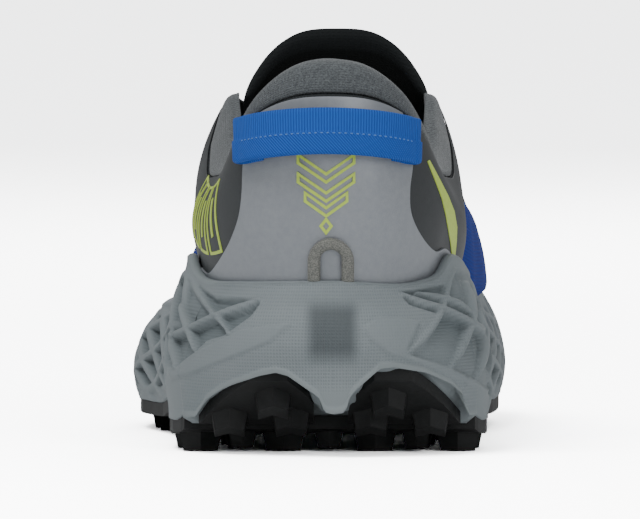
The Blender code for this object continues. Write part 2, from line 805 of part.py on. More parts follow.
def lug(centre, width, deep, facing, points, faces):
    """A chevron block under the rubber, its point towards facing along the shoe."""
    notch = deep * LUG_NOTCH
    shape = (
        (-width / 2, -deep / 2),
        (0.0, -deep / 2 + notch),
        (width / 2, -deep / 2),
        (width / 2, deep / 2 - notch),
        (0.0, deep / 2),
        (-width / 2, deep / 2 - notch),
    )
    base = len(points)
    count = len(shape)
    for scale, tip in ((1.0, False), (LUG_TAPER, True)):
        for u, v in shape:
            x = centre[0] + u * scale
            y = centre[1] + v * scale * facing
            z = rocker(y) if tip else rocker(y) + LUG_DEPTH + LUG_ROOT
            points.append((x, y, float(z)))
    faces += prism_faces(base, count)


def make_rear_rubber(side, name, finish):
    pod = make_pod_plate(f"outsole_rear_{name}", side, 0.0, finish)
    points, faces = [], []
    for share, place in REAR_LUGS:
        inner, outer = pod_span(share, side)
        half = REAR_LUG_SIZE / 2 + GAP
        x = inner + half + (outer - inner - 2 * half) * place
        y = -LENGTH / 2 + share * LENGTH
        lug((side * x, y), REAR_LUG_SIZE, REAR_LUG_SIZE * 0.85, -1, points, faces)
    boolean(pod, add_object(f"lugs_rear_{name}", points, faces, None), "UNION")
    return pod


def make_main_rubber(finish):
    """The rubber from behind the arch to the toe, with a window under the arch."""
    turns = stations()
    lateral, medial = sole_wall(turns, 0.0), sole_wall(-turns, 0.0)
    share = lateral[:, 1] / LENGTH + 0.5
    main = (share > STEP_BACK) & (share < MAIN_RUBBER_END)
    share, lateral, medial = share[main], lateral[main], medial[main]
    middle = (lateral[:, 0] + medial[:, 0]) / 2
    reach = (medial[:, 0] - lateral[:, 0]) / 2 - GAP
    parts = np.array([-1, -WINDOW[2], 0, WINDOW[2], 1])
    bottom = np.zeros((len(share), len(parts), 3))
    bottom[..., 0] = middle[:, None] + parts * reach[:, None]
    bottom[..., 1] = lateral[:, 1, None]
    bottom[..., 2] = rocker(bottom[..., 1]) + LUG_DEPTH
    top = bottom + (0, 0, RUBBER)
    holes = [(r, c) for r in range(len(share) - 1) for c in (1, 2)
             if WINDOW[0] < (share[r] + share[r + 1]) / 2 < WINDOW[1]]
    body = slab("outsole_main", bottom, top, finish, holes)
    points, faces = [], []
    for k in range(LUG_ROWS):
        at = LUG_FIRST + LUG_PITCH * k
        y = (at - 0.5) * LENGTH
        places = next(p for limit, p in LUG_ACROSS if at <= limit)
        for place in places:
            x = np.interp(at, share, middle) + place * np.interp(at, share, reach)
            lug((x, y), LUG_SIZE, LUG_PITCH * LENGTH * 0.60, 1 if at > 0.4 else -1, points, faces)
    boolean(body, add_object("lugs_main", points, faces, None), "UNION")
    return body


# Upper and its overlays.
def make_upper(finish):
    angles = full_round()
    last = seam_level(angles)
    rows = [upper_skin(angles, np.full_like(angles, -0.93)), upper_skin(angles, 0.0 * angles)]
    for part in (0.16, 0.33, 0.50, 0.67, 0.84, 1.0):
        rows.append(upper_skin(angles, last * part))
    body = skin("upper", rows, UPPER_WALL, finish, wrap=True, outward=False)
    punch_eyelets(body, "eyelet_cutter")
    return body


def eyelet_frame(share, side, set_in=None):
    """A point of the upper's face beside the throat, and the direction out of it."""
    angle = angle_at(share, side)
    level = level_beside(angle, EYELET_EDGE if set_in is None else set_in)
    here = upper_skin(angle, level)
    out = here - upper_skin(angle, level, 1 * MM)
    return here, out / np.linalg.norm(out)


def add_peg(place, points, faces):
    """A peg through the eyestay and the upper, for an eyelet's hole."""
    here, out = place
    ahead = np.cross(out, (1.0, 0.0, 0.0))
    ahead = ahead / np.linalg.norm(ahead)
    across = np.cross(out, ahead)
    base = len(points)
    for reach in (EYELET_CUT, -EYELET_CUT):
        for k in range(PEG_SIDES):
            swing = 2 * math.pi * k / PEG_SIDES
            rim = (ahead * math.cos(swing) + across * math.sin(swing)) * EYELET_HOLE / 2
            points.append(here + out * reach + rim)
    faces += prism_faces(base, PEG_SIDES)


def make_counter(finish):
    """The heel counter, narrow under the collar and spreading towards the midsole."""
    rows = []
    seam = seam_level(0.0)
    for level in np.linspace(COUNTER[0][0], 1.0, 10):
        lateral, medial = (smooth(level, column(COUNTER, 0), column(COUNTER, i)) for i in (1, 2))
        ends = angle_at_x(level * seam, np.array([medial, -lateral]) * HEEL_WIDTH / 2)
        angle = np.linspace(ends[0], ends[1], 15)
        rows.append(upper_skin(angle, level * (seam_level(angle) - COUNTER_SET), -OVERLAY_GAP))
    return skin("heel_counter", rows, OVERLAY, finish)


def make_toe_cap(finish):
    """The bumper round the toe, highest at its tip."""
    angles = full_round()
    first = turn_of(CAP_START)
    angles = angles[(angles > first) & (angles < 2 * math.pi - first)]
    reach = np.abs(angles - math.pi) / (math.pi - first)
    tall = CAP_HEIGHT - CAP_FALL * reach**2 - CAP_FOOT
    rows = [upper_skin(angles, CAP_FOOT + tall * part, -OVERLAY_GAP) for part in np.linspace(0, 1, 5)]
    return skin("toe_cap", rows, CAP_OVERLAY, finish)


def make_eyestay(finish):
    """The band round the throat that carries the eyelets, closed in front of it."""
    turns = np.array([t for t in stations() if turn_of(EYESTAY_SPAN[0]) < t < turn_of(EYESTAY_SPAN[1])])
    halves = []
    for side in (1, -1):
        angles = turns * side
        ahead = np.clip((share_of(turns) - THROAT_END) / (EYESTAY_SPAN[1] - THROAT_END), 0, 1)
        low = level_beside(angles, EYESTAY_WIDTH * (1 - EYESTAY_TAPER * ahead))
        levels = low + (1 - low) * np.linspace(0, 1, 4)[:, None]
        halves.append(upper_skin(angles, levels, -OVERLAY_GAP))
    rows = np.concatenate([halves[0], halves[1][::-1]]).transpose(1, 0, 2)[::-1].copy()
    closed = share_of(turns[::-1]) >= THROAT_END
    ridge = (rows[closed, 3] + rows[closed, 4]) / 2
    rows[closed, 3] = rows[closed, 4] = ridge
    made = skin("eyestay", rows, OVERLAY, finish, left_out=3)
    punch_eyelets(made, "eyestay_cutter")
    return made


def punch_eyelets(body, name):
    points, faces = [], []
    for side in (-1, 1):
        for share in EYELET_SHARES:
            add_peg(eyelet_frame(share, side), points, faces)
    boolean(body, add_object(name, points, faces, None), "DIFFERENCE")


# Collar, tongue, insole.
def make_collar(finish):
    """The padded cuff: it stands on the upper's edge and lines the inside of the heel."""
    turns = [t for t in stations() if t < turn_of(COLLAR_FRONT)]
    angles = np.array([-t for t in reversed(turns[1:])] + turns)
    inside = UPPER_WALL + 1.5 * GAP
    sections = []
    for angle in angles:
        share = float(share_of(abs(angle)))
        pad = COLLAR_PAD * (1.0 - (1 - COLLAR_THIN) * np.clip(share / COLLAR_FRONT, 0, 1))
        seam = float(seam_level(angle))
        rise = 2 * GAP / COLLAR_LINING / 2
        low = max(float(level_under(angle, COLLAR_LINING)), LINING_LOW)
        swell = float(level_under(angle, COLLAR_SWELL_DROP))
        top = upper_skin(angle, 1.0)
        crown = upper_skin(angle, 1.0, pad * 0.48)
        crown[2] = top[2] + pad * 0.22
        inner_top = upper_skin(angle, 1.0, pad)
        inner_top[2] = top[2] - pad * 0.12
        sections.append(np.array([
            upper_skin(angle, seam + rise),
            upper_skin(angle, (seam + 1) / 2, -COLLAR_PUFF),
            upper_skin(angle, 0.995, -COLLAR_PUFF / 6),
            crown,
            inner_top,
            upper_skin(angle, swell, pad + COLLAR_SWELL),
            upper_skin(angle, (swell + low) / 2, pad * 0.75 + COLLAR_HEM),
            upper_skin(angle, low, inside + COLLAR_HEM),
            upper_skin(angle, low, inside),
            upper_skin(angle, (low + seam) / 2, inside),
            upper_skin(angle, seam + rise, inside),
        ]))
    return tube("collar", sections, finish)


def throat(share):
    """Middle of the throat at a place along it, half its opening, and the height of its edge."""
    lateral, medial = top_line(angle_at(share, -1)), top_line(angle_at(share, 1))
    middle = (lateral + medial) / 2
    return middle, (medial[..., 0] - lateral[..., 0]) / 2


def tongue_height(share, across=0.0):
    """Outer face of the tongue between the throat's edges."""
    middle, half = throat(share)
    rise = (half**2 - np.asarray(across) ** 2) / (2 * CROWN_RADIUS)
    return middle[..., 2] - (UPPER_WALL + TONGUE_CLEAR) + rise


def make_tongue(finish):
    """The padded tongue: under the upper on both sides, over the collar at its free end."""
    parts = np.linspace(-1, 1, 9)
    rows = []
    for share in np.linspace(TONGUE_SPAN[0], TONGUE_SPAN[1], 7):
        middle, half = throat(share)
        tuck = np.interp(share, TONGUE_SPAN[::-1], TONGUE_TUCK[::-1])
        x = parts * (half + tuck)
        angle = angle_at(share, np.sign(parts))
        level = level_at_x(angle, np.abs(x + middle[0]))
        tucked = upper_skin(angle, level, UPPER_WALL + TONGUE_CLEAR)
        free = np.stack([x + middle[0], middle[1] + 0 * x, tongue_height(share, x)], -1)
        rows.append(np.where((np.abs(x) < half)[:, None], free, tucked))
    start = rows[-1]
    crown = start[len(parts) // 2]
    for ahead, rise, half, fall, wrap in TONGUE_TOP:
        row = np.stack([
            crown[0] + parts * half * HEEL_WIDTH / 2,
            crown[1] - ahead * TONGUE_RISE + wrap * TONGUE_RISE * parts**2,
            crown[2] + (rise - fall * np.abs(parts) ** TONGUE_ARCH) * TONGUE_RISE,
        ], -1)
        rows.append(row)
    return skin("tongue", rows, TONGUE_PAD, finish, outward=False)


def make_insole(finish):
    angles = full_round()
    edge = bed_edge(angles, UPPER_WALL + 2 * GAP)
    edge[:, 2] += INSOLE_GAP
    rim = edge.copy()
    rim[:, 2] += INSOLE * INSOLE_CUP
    face = bed_edge(angles, INSOLE_BORDER)
    face[:, 2] += INSOLE_GAP + INSOLE
    rings = [on_centre_line(edge), edge, rim, face, on_centre_line(face)]
    return add_object("insole", np.concatenate(rings), sheet_faces(5, len(angles), wrap=True), finish)


# Small pieces at the heel.
def on_heel(x, z, stand):
    """The point that stands off the back of the upper at this x and z."""
    angle = angle_at_x(0.6, x)
    for _ in range(5):
        level = level_at_z(angle, z)
        angle = angle_at_x(level, x)
    return upper_skin(angle, level, -stand)


def make_pull_tab(finish):
    """A webbing band across the back of the heel, its ends folded under and sewn down."""
    seat = OVERLAY_GAP + OVERLAY + 2 * GAP
    over = seat + PULL_TAB_THICKNESS + GAP
    near = [(p, seat + PULL_TAB_THICKNESS) for p in (0.78, 0.87, 0.96)] + [(0.98, over - GAP / 2)]
    far = [(p, seat) for p in (0.78, 0.87, 0.96)] + [(1.05, over - GAP / 2)]
    for p in np.linspace(1, 0, 7)[:-1]:
        near.append((p, over + PULL_TAB_STAND * (1 - p**4)))
        far.append((p, over + PULL_TAB_STAND * (1 - p**4) + PULL_TAB_THICKNESS))
    corners = []
    for line, edge in ((near, -1), (near, 1), (far, 1), (far, -1)):
        middle = (0.0, line[-1][1] + PULL_TAB_STAND * 0.02)
        line = np.array([(-p, stand) for p, stand in line] + [middle] + line[::-1])
        height = PULL_TAB_MIDDLE - PULL_TAB_BOW * line[:, 0] ** 2 + edge * PULL_TAB_HEIGHT / 2
        corners.append(on_heel(line[:, 0] * (PULL_TAB_WIDTH / 2 - over), height, line[:, 1]))
    return tube("pull_tab", np.stack(corners, 1), finish)


def make_heel_loop(finish):
    """A small arch of reflective webbing over the midsole's rim, for a gaiter."""
    seat = OVERLAY_GAP + OVERLAY + GAP
    straight = LOOP_HEIGHT - LOOP_WIDTH / 2
    swing = np.linspace(math.pi, 0, 9)
    arch = np.stack([np.cos(swing) * LOOP_WIDTH / 2, straight + np.sin(swing) * LOOP_WIDTH / 2], -1)
    foot = np.array([(-LOOP_WIDTH / 2, 0.0), (-LOOP_WIDTH / 2, straight / 2)])
    path = np.concatenate([foot, arch, (foot * (-1, 1))[::-1]])
    run = np.gradient(path, axis=0)
    run = run / np.linalg.norm(run, axis=-1, keepdims=True)
    across = np.stack([-run[:, 1], run[:, 0]], -1)
    tall = float(top_line(0.0)[2] - sole_wall(0.0, 1.0)[2])
    ring = []
    for reach, lift in ((-0.5, 0.0), (-0.36, 1.0), (0.36, 1.0), (0.5, 0.0)):
        place = path + across * LOOP_BAND * reach
        level = np.clip(place[:, 1], 0, None) / tall + LOOP_START
        angles = angle_at_x(level, place[:, 0])
        ring.append(upper_skin(angles, level, np.full(len(level), -(seat + lift * LOOP_THICKNESS))))
    return tube("heel_loop", np.stack(ring, 1), finish)


# Laces.
def lace_path(first, second):
    """Centre line of one run from eyelet to eyelet over both edges of the throat, and its ups."""
    (side_a, share_a), (side_b, share_b) = first, second
    lift = OVERLAY_GAP + OVERLAY + 2 * GAP + LACE_THICKNESS / 2
    points, ups = [], []
    for side, share, other in ((side_a, share_a, share_b), (side_b, share_b, share_a)):
        eyelet, out = eyelet_frame(share, side)
        edge, out_edge = eyelet_frame(share + (other - share) * 0.14, side, 0.4 * MM)
        points.append([eyelet + out * lift, edge + out_edge * (lift + GAP)])
        ups.append([out, out_edge])
    share = (share_a + share_b) / 2
    crown = throat(share)[0].copy()
    over = 0.4 * (share_a > share_b)
    crown[2] = tongue_height(share) + 2 * GAP + (1 + over) * LACE_THICKNESS
    level = throat(share + 0.02)[0] - throat(share - 0.02)[0]
    flat = np.array([0.0, -level[2], level[1]])
    corners = np.array([points[0][0], points[0][1], crown, points[1][1], points[1][0]])
    turned = np.array([ups[0][0], ups[0][1], flat / np.linalg.norm(flat), ups[1][1], ups[1][0]])
    knots = np.array([0.0, 0.17, 0.5, 0.83, 1.0])
    at = np.array([0.0, 0.12, 0.24, 0.5, 0.76, 0.88, 1.0])
    path, up = (np.stack([natural(at, knots, form[:, i]) for i in range(3)], -1) for form in (corners, turned))
    return path, up


def natural(at, knots, values):
    """As smooth, with slopes at the ends too."""
    first = 2 * values[0] - values[1]
    last = 2 * values[-1] - values[-2]
    knots = np.concatenate([[2 * knots[0] - knots[1]], knots, [2 * knots[-1] - knots[-2]]])
    return smooth(at, knots, np.concatenate([[first], values, [last]]))


def make_laces(finish):
    """Crossings over the tongue, from each eyelet to the next one on the other side."""
    last = len(EYELET_SHARES) - 1
    runs = [(last, last)]
    for k in range(last, 0, -1):
        runs += [(k, k - 1), (k - 1, k)]
    parts = []
    for lateral, medial in runs:
        path, up = lace_path((-1, EYELET_SHARES[lateral]), (1, EYELET_SHARES[medial]))
        run = np.gradient(path, axis=0)
        run = run / np.linalg.norm(run, axis=-1, keepdims=True)
        across = np.cross(run, up)
        across = across / np.linalg.norm(across, axis=-1, keepdims=True)
        up = np.cross(across, run)
        ring = []
        for wide, high in ((-0.5, -0.5), (-0.5, 0.5), (0.5, 0.5), (0.5, -0.5)):
            ring.append(path + across * wide * LACE_WIDTH + up * high * LACE_THICKNESS)
        parts.append(tube(f"lace_run_{len(parts)}", np.stack(ring, 1), None))
    body = parts[0]
    body.name = "laces"
    body.data.name = "laces"
    body.data.materials.append(finish)
    for other in parts[1:]:
        boolean(body, other, "UNION")
    return body


def centre_all():
    """Moves every form by the same step, so that the middle of the sole's width is at X = 0."""
    edge = sole_wall(full_round(), np.array([[0.2], [0.45]]))[..., 0]
    for made in bpy.data.objects:
        made.data.transform(Matrix.Translation((-(edge.min() + edge.max()) / 2, 0, 0)))


def main():
    for old in list(bpy.data.objects):
        bpy.data.objects.remove(old)
    foam = material("midsole_foam", (0.20, 0.24, 0.25), 0.75)
    rubber = material("outsole_rubber", (0.012, 0.013, 0.013), 0.6)
    mesh = material("upper_textile", (0.045, 0.05, 0.052), 0.8)
    film = material("counter_film", (0.21, 0.225, 0.25), 0.42, 0.35)
    padding = material("collar_textile", (0.11, 0.12, 0.12), 0.95)
    dark = material("tongue_textile", (0.010, 0.012, 0.011), 0.9)
    webbing = material("pull_tab_webbing", (0.025, 0.155, 0.55), 0.7)
    reflective = material("loop_webbing", (0.28, 0.28, 0.27), 0.5)
    cap = material("toe_cap_film", (0.02, 0.022, 0.023), 0.55)
    lace = material("lace_cord", (0.02, 0.13, 0.48), 0.85)
    foot_bed = material("insole_textile", (0.03, 0.03, 0.03), 0.9)
    make_midsole(foam)
    make_main_rubber(rubber)
    for side, name in ((-1, "lateral"), (1, "medial")):
        make_rear_rubber(side, name, rubber)
    make_upper(mesh)
    make_counter(film)
    make_toe_cap(cap)
    make_eyestay(cap)
    make_collar(padding)
    make_tongue(dark)
    make_insole(foot_bed)
    make_pull_tab(webbing)
    make_heel_loop(reflective)
    make_laces(lace)
    centre_all()


main()
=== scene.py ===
"""Looks of a trail running shoe for the left foot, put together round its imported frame."""

import math

import bmesh
import bpy
import numpy as np
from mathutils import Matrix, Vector


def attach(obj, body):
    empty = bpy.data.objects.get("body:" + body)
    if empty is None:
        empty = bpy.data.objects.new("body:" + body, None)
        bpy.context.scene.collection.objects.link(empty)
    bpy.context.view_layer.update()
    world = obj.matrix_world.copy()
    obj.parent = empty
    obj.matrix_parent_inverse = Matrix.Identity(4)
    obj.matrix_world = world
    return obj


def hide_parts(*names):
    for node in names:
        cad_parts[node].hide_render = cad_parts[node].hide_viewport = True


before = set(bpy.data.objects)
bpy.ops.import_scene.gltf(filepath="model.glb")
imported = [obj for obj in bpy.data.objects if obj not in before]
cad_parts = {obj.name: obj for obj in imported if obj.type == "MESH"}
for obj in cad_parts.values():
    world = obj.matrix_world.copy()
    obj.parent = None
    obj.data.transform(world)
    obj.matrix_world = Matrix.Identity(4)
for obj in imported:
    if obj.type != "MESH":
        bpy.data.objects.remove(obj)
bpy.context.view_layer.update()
MM = 0.001

# Studio: a pale floor, a soft light from above, a weaker one at the right behind the heel, one beyond
# the toe, and a pale room. The camera looks at the heel from straight behind, just above the floor.
FLOOR_COLOUR = "#F4F5F6"
SHOE_MIDDLE = Vector((0.0, -0.12, 0.058))
CAMERA_DISTANCE = 6.0
CAMERA_RISE = math.radians(2.3)
MM_PER_PIXEL = 1 / (2.2 * 1.52)
# Floor and room look near white to the camera, but light the shoe no more than pale paper would.
PAPER_SEEN, ROOM, ROOM_SEEN = 9.5, 0.42, 8.0


def linear(colour):
    """An sRGB hex colour as linear red, green, blue."""
    parts = [int(colour[i : i + 2], 16) / 255 for i in (1, 3, 5)]
    return tuple(p / 12.92 if p <= 0.04045 else ((p + 0.055) / 1.055) ** 2.4 for p in parts)


def put(thing):
    bpy.context.scene.collection.objects.link(thing)
    return thing


def node(material, kind, settings=None, **links):
    """Adds a node: settings by property or socket name, links by socket name."""
    made = material.node_tree.nodes.new(kind)
    for name, value in (settings or {}).items():
        if isinstance(name, str) and hasattr(made, name):
            setattr(made, name, value)
        else:
            made.inputs[name].default_value = value
    for name, source in links.items():
        key = int(name[1:]) if name[0] == "i" and name[1:].isdigit() else name.replace("_", " ")
        material.node_tree.links.new(source, made.inputs[key])
    return made


def finish_of(name, colour, roughness, **sockets):
    """A material with one Principled shader; colour is sRGB hex."""
    made = bpy.data.materials.new(name)
    made.use_nodes = True
    shader = made.node_tree.nodes["Principled BSDF"]
    shader.inputs["Base Color"].default_value = (*linear(colour), 1)
    shader.inputs["Roughness"].default_value = roughness
    for socket, value in sockets.items():
        shader.inputs[socket.replace("_", " ")].default_value = value
    return made, shader


def studio_light(name, place, aim, size, power):
    lamp = bpy.data.lights.new(name, "AREA")
    lamp.shape = "RECTANGLE"
    lamp.size, lamp.size_y = size
    lamp.energy = power
    made = put(bpy.data.objects.new(name, lamp))
    made.location = place
    made.rotation_euler = (Vector(aim) - Vector(place)).to_track_quat("-Z", "Y").to_euler()


floor_mesh = bpy.data.meshes.new("floor")
floor_mesh.from_pydata([(-14, -14, 0), (14, -14, 0), (14, 14, 0), (-14, 14, 0)], [], [(0, 1, 2, 3)])
floor = put(bpy.data.objects.new("floor", floor_mesh))
paper, shader = finish_of("backdrop_paper", FLOOR_COLOUR, 0.95, Specular_IOR_Level=0.1)
seen = node(paper, "ShaderNodeLightPath").outputs["Is Camera Ray"]
bright = node(paper, "ShaderNodeMix", {"data_type": "RGBA"})
paper.node_tree.links.new(seen, bright.inputs[0])
bright.inputs[6].default_value = (*linear(FLOOR_COLOUR), 1)
bright.inputs[7].default_value = (PAPER_SEEN, PAPER_SEEN, PAPER_SEEN, 1)
exposed = node(paper, "ShaderNodeBsdfDiffuse", Color=bright.outputs[2])
paper.node_tree.links.new(exposed.outputs[0], paper.node_tree.nodes["Material Output"].inputs["Surface"])
floor_mesh.materials.append(paper)

world = bpy.data.worlds.new("studio")
world.use_nodes = True
world.node_tree.nodes["Background"].inputs["Color"].default_value = (*linear("#FBFCFD"), 1)
seen = world.node_tree.nodes.new("ShaderNodeLightPath").outputs["Is Camera Ray"]
exposed = world.node_tree.nodes.new("ShaderNodeMath")
exposed.operation = "MULTIPLY_ADD"
exposed.inputs[1].default_value = ROOM_SEEN
exposed.inputs[2].default_value = ROOM
world.node_tree.links.new(seen, exposed.inputs[0])
world.node_tree.links.new(exposed.outputs[0], world.node_tree.nodes["Background"].inputs["Strength"])
bpy.context.scene.world = world
studio_light("top_softbox", (-0.5, -0.7, 1.5), (0, 0, 0.05), (0.8, 0.8), 15)
studio_light("rear_softbox", (0.9, -1.9, 0.7), (0, -0.1, 0.06), (0.7, 0.7), 9)
studio_light("front_softbox", (0.3, 1.6, 1.2), (0, 0.05, 0.05), (1.0, 0.8), 8)

camera = put(bpy.data.objects.new("camera", bpy.data.cameras.new("camera")))
camera.data.lens = 36 * CAMERA_DISTANCE / (640 * MM_PER_PIXEL * MM)
camera.data.clip_end = 60
away = Vector((0, -math.cos(CAMERA_RISE), math.sin(CAMERA_RISE)))
camera.location = SHOE_MIDDLE + away * CAMERA_DISTANCE
camera.rotation_euler = (-away).to_track_quat("-Z", "Y").to_euler()
bpy.context.scene.camera = camera

# Midsole: one block of light foam, moulded grey with a flared side. Ribs cross over hollows on both
# sides, the heel has a fine moulded grid, and a nose of foam hangs between the two rear rubbers.
LENGTH = 303 * MM
BALL_WIDTH = 113 * MM
HEEL_WIDTH = 98 * MM
RIM_HEIGHT = 53 * MM
HEEL_STACK = 30 * MM
FOREFOOT_STACK = 24 * MM
LUG_DEPTH = 5 * MM
RUBBER = 4 * MM
RIM_LIP = 4.2 * MM
BOWL_DRAFT = 2.2 * MM
FLARE = 9 * MM
HEEL_LIFT = 22 * MM
TOE_LIFT = 24 * MM
ARCH_LIFT = 3 * MM
GAP = 0.3 * MM
HEEL_BEVEL, TOE_BEVEL = 0.150, 0.69
STEP_BACK = 0.117
HEEL_ROUND, TOE_ROUND, ROUND_POWER = 0.21, 0.15, 2.15
HEEL_MIDDLE = 3.262 * MM
PLAN = (
    # share, lateral, medial, centre, lateral_flare, medial_flare
    (0.00, 1.00, 0.99, 0.00, 1.05, 0.95),
    (0.12, 1.01, 0.99, 0.00, 0.92, 0.88),
    (0.25, 1.01, 0.97, 0.00, 0.68, 0.62),
    (0.40, 0.97, 0.88, -0.03, 0.70, 0.50),
    (0.52, 0.97, 0.85, -0.05, 0.84, 0.62),
    (0.62, 1.055, 0.91, -0.04, 0.90, 0.78),
    (0.72, 1.03, 0.94, 0.00, 0.84, 0.80),
    (0.82, 0.87, 0.93, 0.07, 0.78, 0.72),
    (0.92, 0.66, 0.83, 0.12, 0.70, 0.68),
    (1.00, 0.52, 0.72, 0.13, 0.66, 0.66),
)
WALL = (
    # level, inset in shares of the flare, heel end and toe end set in, in shares of FLARE
    (0.00, 0.14, 0.12, 0.50),
    (0.35, 0.00, 0.00, 0.00),
    (0.72, 0.40, 0.42, 0.36),
    (1.00, 1.00, 1.27, 1.00),
)
RIM = (
    # share, height of the lateral and of the medial side in shares of RIM_HEIGHT
    (0.00, 0.975, 0.975),
    (0.05, 0.960, 0.965),
    (0.08, 0.955, 1.000),
    (0.11, 0.955, 1.095),
    (0.14, 0.970, 1.085),
    (0.17, 1.010, 1.030),
    (0.215, 1.085, 0.975),
    (0.27, 1.020, 0.930),
    (0.35, 0.930, 0.875),
    (0.45, 0.820, 0.800),
    (0.55, 0.745, 0.740),
    (0.65, 0.710, 0.710),
    (0.75, 0.725, 0.725),
    (0.85, 0.800, 0.800),
    (0.93, 0.890, 0.890),
    (1.00, 0.950, 0.950),
)


def column(table, index):
    return np.array([row[index] for row in table], float)


def smooth(at, knots, values):
    """A smooth curve through a table's points, flat at both ends."""
    at = np.asarray(at, float)
    slopes = np.gradient(values, knots)
    slopes[0] = slopes[-1] = 0.0
    place = np.clip(np.searchsorted(knots, at, side="right") - 1, 0, len(knots) - 2)
    width = knots[place + 1] - knots[place]
    part = np.clip((at - knots[place]) / width, 0.0, 1.0)
    low, high = values[place], values[place + 1]
    rise = 3 * part**2 - 2 * part**3
    ease_in = part**3 - 2 * part**2 + part
    ease_out = part**3 - part**2
    return low + (high - low) * rise + width * (slopes[place] * ease_in + slopes[place + 1] * ease_out)


def ease(low, high, at):
    """From 0 at low to 1 at high, without corners."""
    part = np.clip((np.asarray(at, float) - low) / (high - low), 0, 1)
    return part * part * (3 - 2 * part)


def turn_of(share):
    return np.arccos(np.clip(1 - 2 * np.asarray(share, float), -1, 1))


def share_of(turn):
    return (1 - np.cos(turn)) / 2


def along(table, index, turn):
    return smooth(turn, turn_of(column(table, 0)), column(table, index))


def fold(angle):
    """An angle runs from the heel along the lateral side to the toe and back along the medial."""
    angle = np.mod(np.asarray(angle, float), 2 * math.pi)
    lateral = angle <= math.pi
    return np.where(lateral, angle, 2 * math.pi - angle), np.where(lateral, -1.0, 1.0)


def angle_at(share, side):
    turn = turn_of(share)
    return np.where(np.asarray(side) < 0, turn, 2 * math.pi - turn)


def end_round(share, heel, toe, power):
    rounding = 1.0
    for reach, away_from in ((heel, share), (toe, 1 - share)):
        if reach:
            near = np.clip(1 - away_from / reach, 0, 1)
            rounding = rounding * (1 - near**power) ** (1 / power)
    return rounding


def half_width(share):
    return (HEEL_WIDTH + (BALL_WIDTH - HEEL_WIDTH) * ease(0.30, 0.60, share)) / 2


def rocker(y):
    """Height of the lugs' tips over the floor."""
    share = np.asarray(y, float) / LENGTH + 0.5
    heel = HEEL_LIFT * np.clip(1 - share / HEEL_BEVEL, 0, 1) ** 1.5
    toe = TOE_LIFT * np.clip((share - TOE_BEVEL) / (1 - TOE_BEVEL), 0, 1) ** 2
    waist = np.clip((share - 0.30) / 0.22, 0, 1)
    return heel + toe + ARCH_LIFT * np.sin(waist * math.pi) ** 2


def sole_bottom(y):
    share = np.asarray(y, float) / LENGTH + 0.5
    return rocker(y) + LUG_DEPTH + np.where(share > STEP_BACK, RUBBER + GAP, 0.0)


def rim_height(angle):
    turn, side = fold(angle)
    return np.where(side < 0, along(RIM, 1, turn), along(RIM, 2, turn)) * RIM_HEIGHT


def sole_wall(angle, level, inset=0.0):
    """A point of the midsole's side, moved inwards by inset."""
    turn, side = fold(angle)
    share = share_of(turn)
    levels = column(WALL, 0)
    heel_end = -LENGTH / 2 + smooth(level, levels, column(WALL, 2)) * FLARE + inset
    toe_end = LENGTH / 2 - smooth(level, levels, column(WALL, 3)) * FLARE - inset
    y = heel_end + (toe_end - heel_end) * share
    half = half_width(share)
    centre = along(PLAN, 3, turn) * half
    lateral, medial = (along(PLAN, i, turn) * half for i in (1, 2))
    flares = np.where(side < 0, along(PLAN, 4, turn), along(PLAN, 5, turn)) * FLARE
    edge = np.where(side < 0, lateral, medial)
    edge = edge - flares * smooth(level, levels, column(WALL, 1)) - inset
    reach = edge - side * centre
    x = centre + side * reach * end_round(share, HEEL_ROUND, TOE_ROUND, ROUND_POWER)
    bottom = sole_bottom(y)
    rim = rim_height(angle)
    return np.stack([x, y, bottom + (rim - bottom) * level], -1)


def bed_height(y):
    """Top of the foam under the insole."""
    share = np.asarray(y, float) / LENGTH + 0.5
    toe = TOE_LIFT * np.clip((share - TOE_BEVEL) / (1 - TOE_BEVEL), 0, 1) ** 2
    return HEEL_STACK + (FOREFOOT_STACK - HEEL_STACK) * ease(0.15, 0.65, share) + toe


def bed_edge(angle, inset=0.0):
    point = sole_wall(angle, 1.0, RIM_LIP + BOWL_DRAFT + inset)
    point[..., 2] = bed_height(point[..., 1])
    return point


def grid_faces(rows, columns, wrap=False):
    """Faces of a grid of points stored row by row."""
    r, c = np.meshgrid(np.arange(rows - 1), np.arange(columns if wrap else columns - 1), indexing="ij")
    d = (c + 1) % columns
    faces = np.stack([r * columns + c, r * columns + d, (r + 1) * columns + d, (r + 1) * columns + c], -1)
    return faces.reshape(-1, 4)


def add_piece(name, points, faces, finish, body="root", facts=None, smooth_shade=True, outward=True):
    """A mesh in the frame of the solids, from points that have X = 0 at the heel's middle.

    facts are values kept with each point, read by the material.
    """
    mesh = bpy.data.meshes.new(name)
    points = np.asarray(points, float).reshape(-1, 3) + (HEEL_MIDDLE, 0, 0)
    mesh.from_pydata(points.tolist(), [], [list(map(int, f)) for f in faces])
    for key, values in (facts or {}).items():
        values = np.asarray(values, float)
        kind = "FLOAT_VECTOR" if values.ndim > 1 and values.shape[-1] == 3 else "FLOAT"
        layer = mesh.attributes.new(key, kind, "POINT")
        layer.data.foreach_set("vector" if kind == "FLOAT_VECTOR" else "value", values.reshape(-1))
    if outward:
        form = bmesh.new()
        form.from_mesh(mesh)
        bmesh.ops.recalc_face_normals(form, faces=form.faces)
        form.to_mesh(mesh)
        form.free()
    if smooth_shade:
        mesh.shade_smooth()
    for each in finish if isinstance(finish, (list, tuple)) else [finish]:
        mesh.materials.append(each)
    made = put(bpy.data.objects.new(name, mesh))
    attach(made, body)
    return made


def square_to(rows):
    """Unit directions square to a grid of points, rows upwards and columns from heel to toe."""
    around = np.roll(rows, -1, axis=1) - np.roll(rows, 1, axis=1)
    rise = np.gradient(rows, axis=0)
    square = np.cross(rise, around)
    return square / np.maximum(np.linalg.norm(square, axis=-1, keepdims=True), 1e-12)


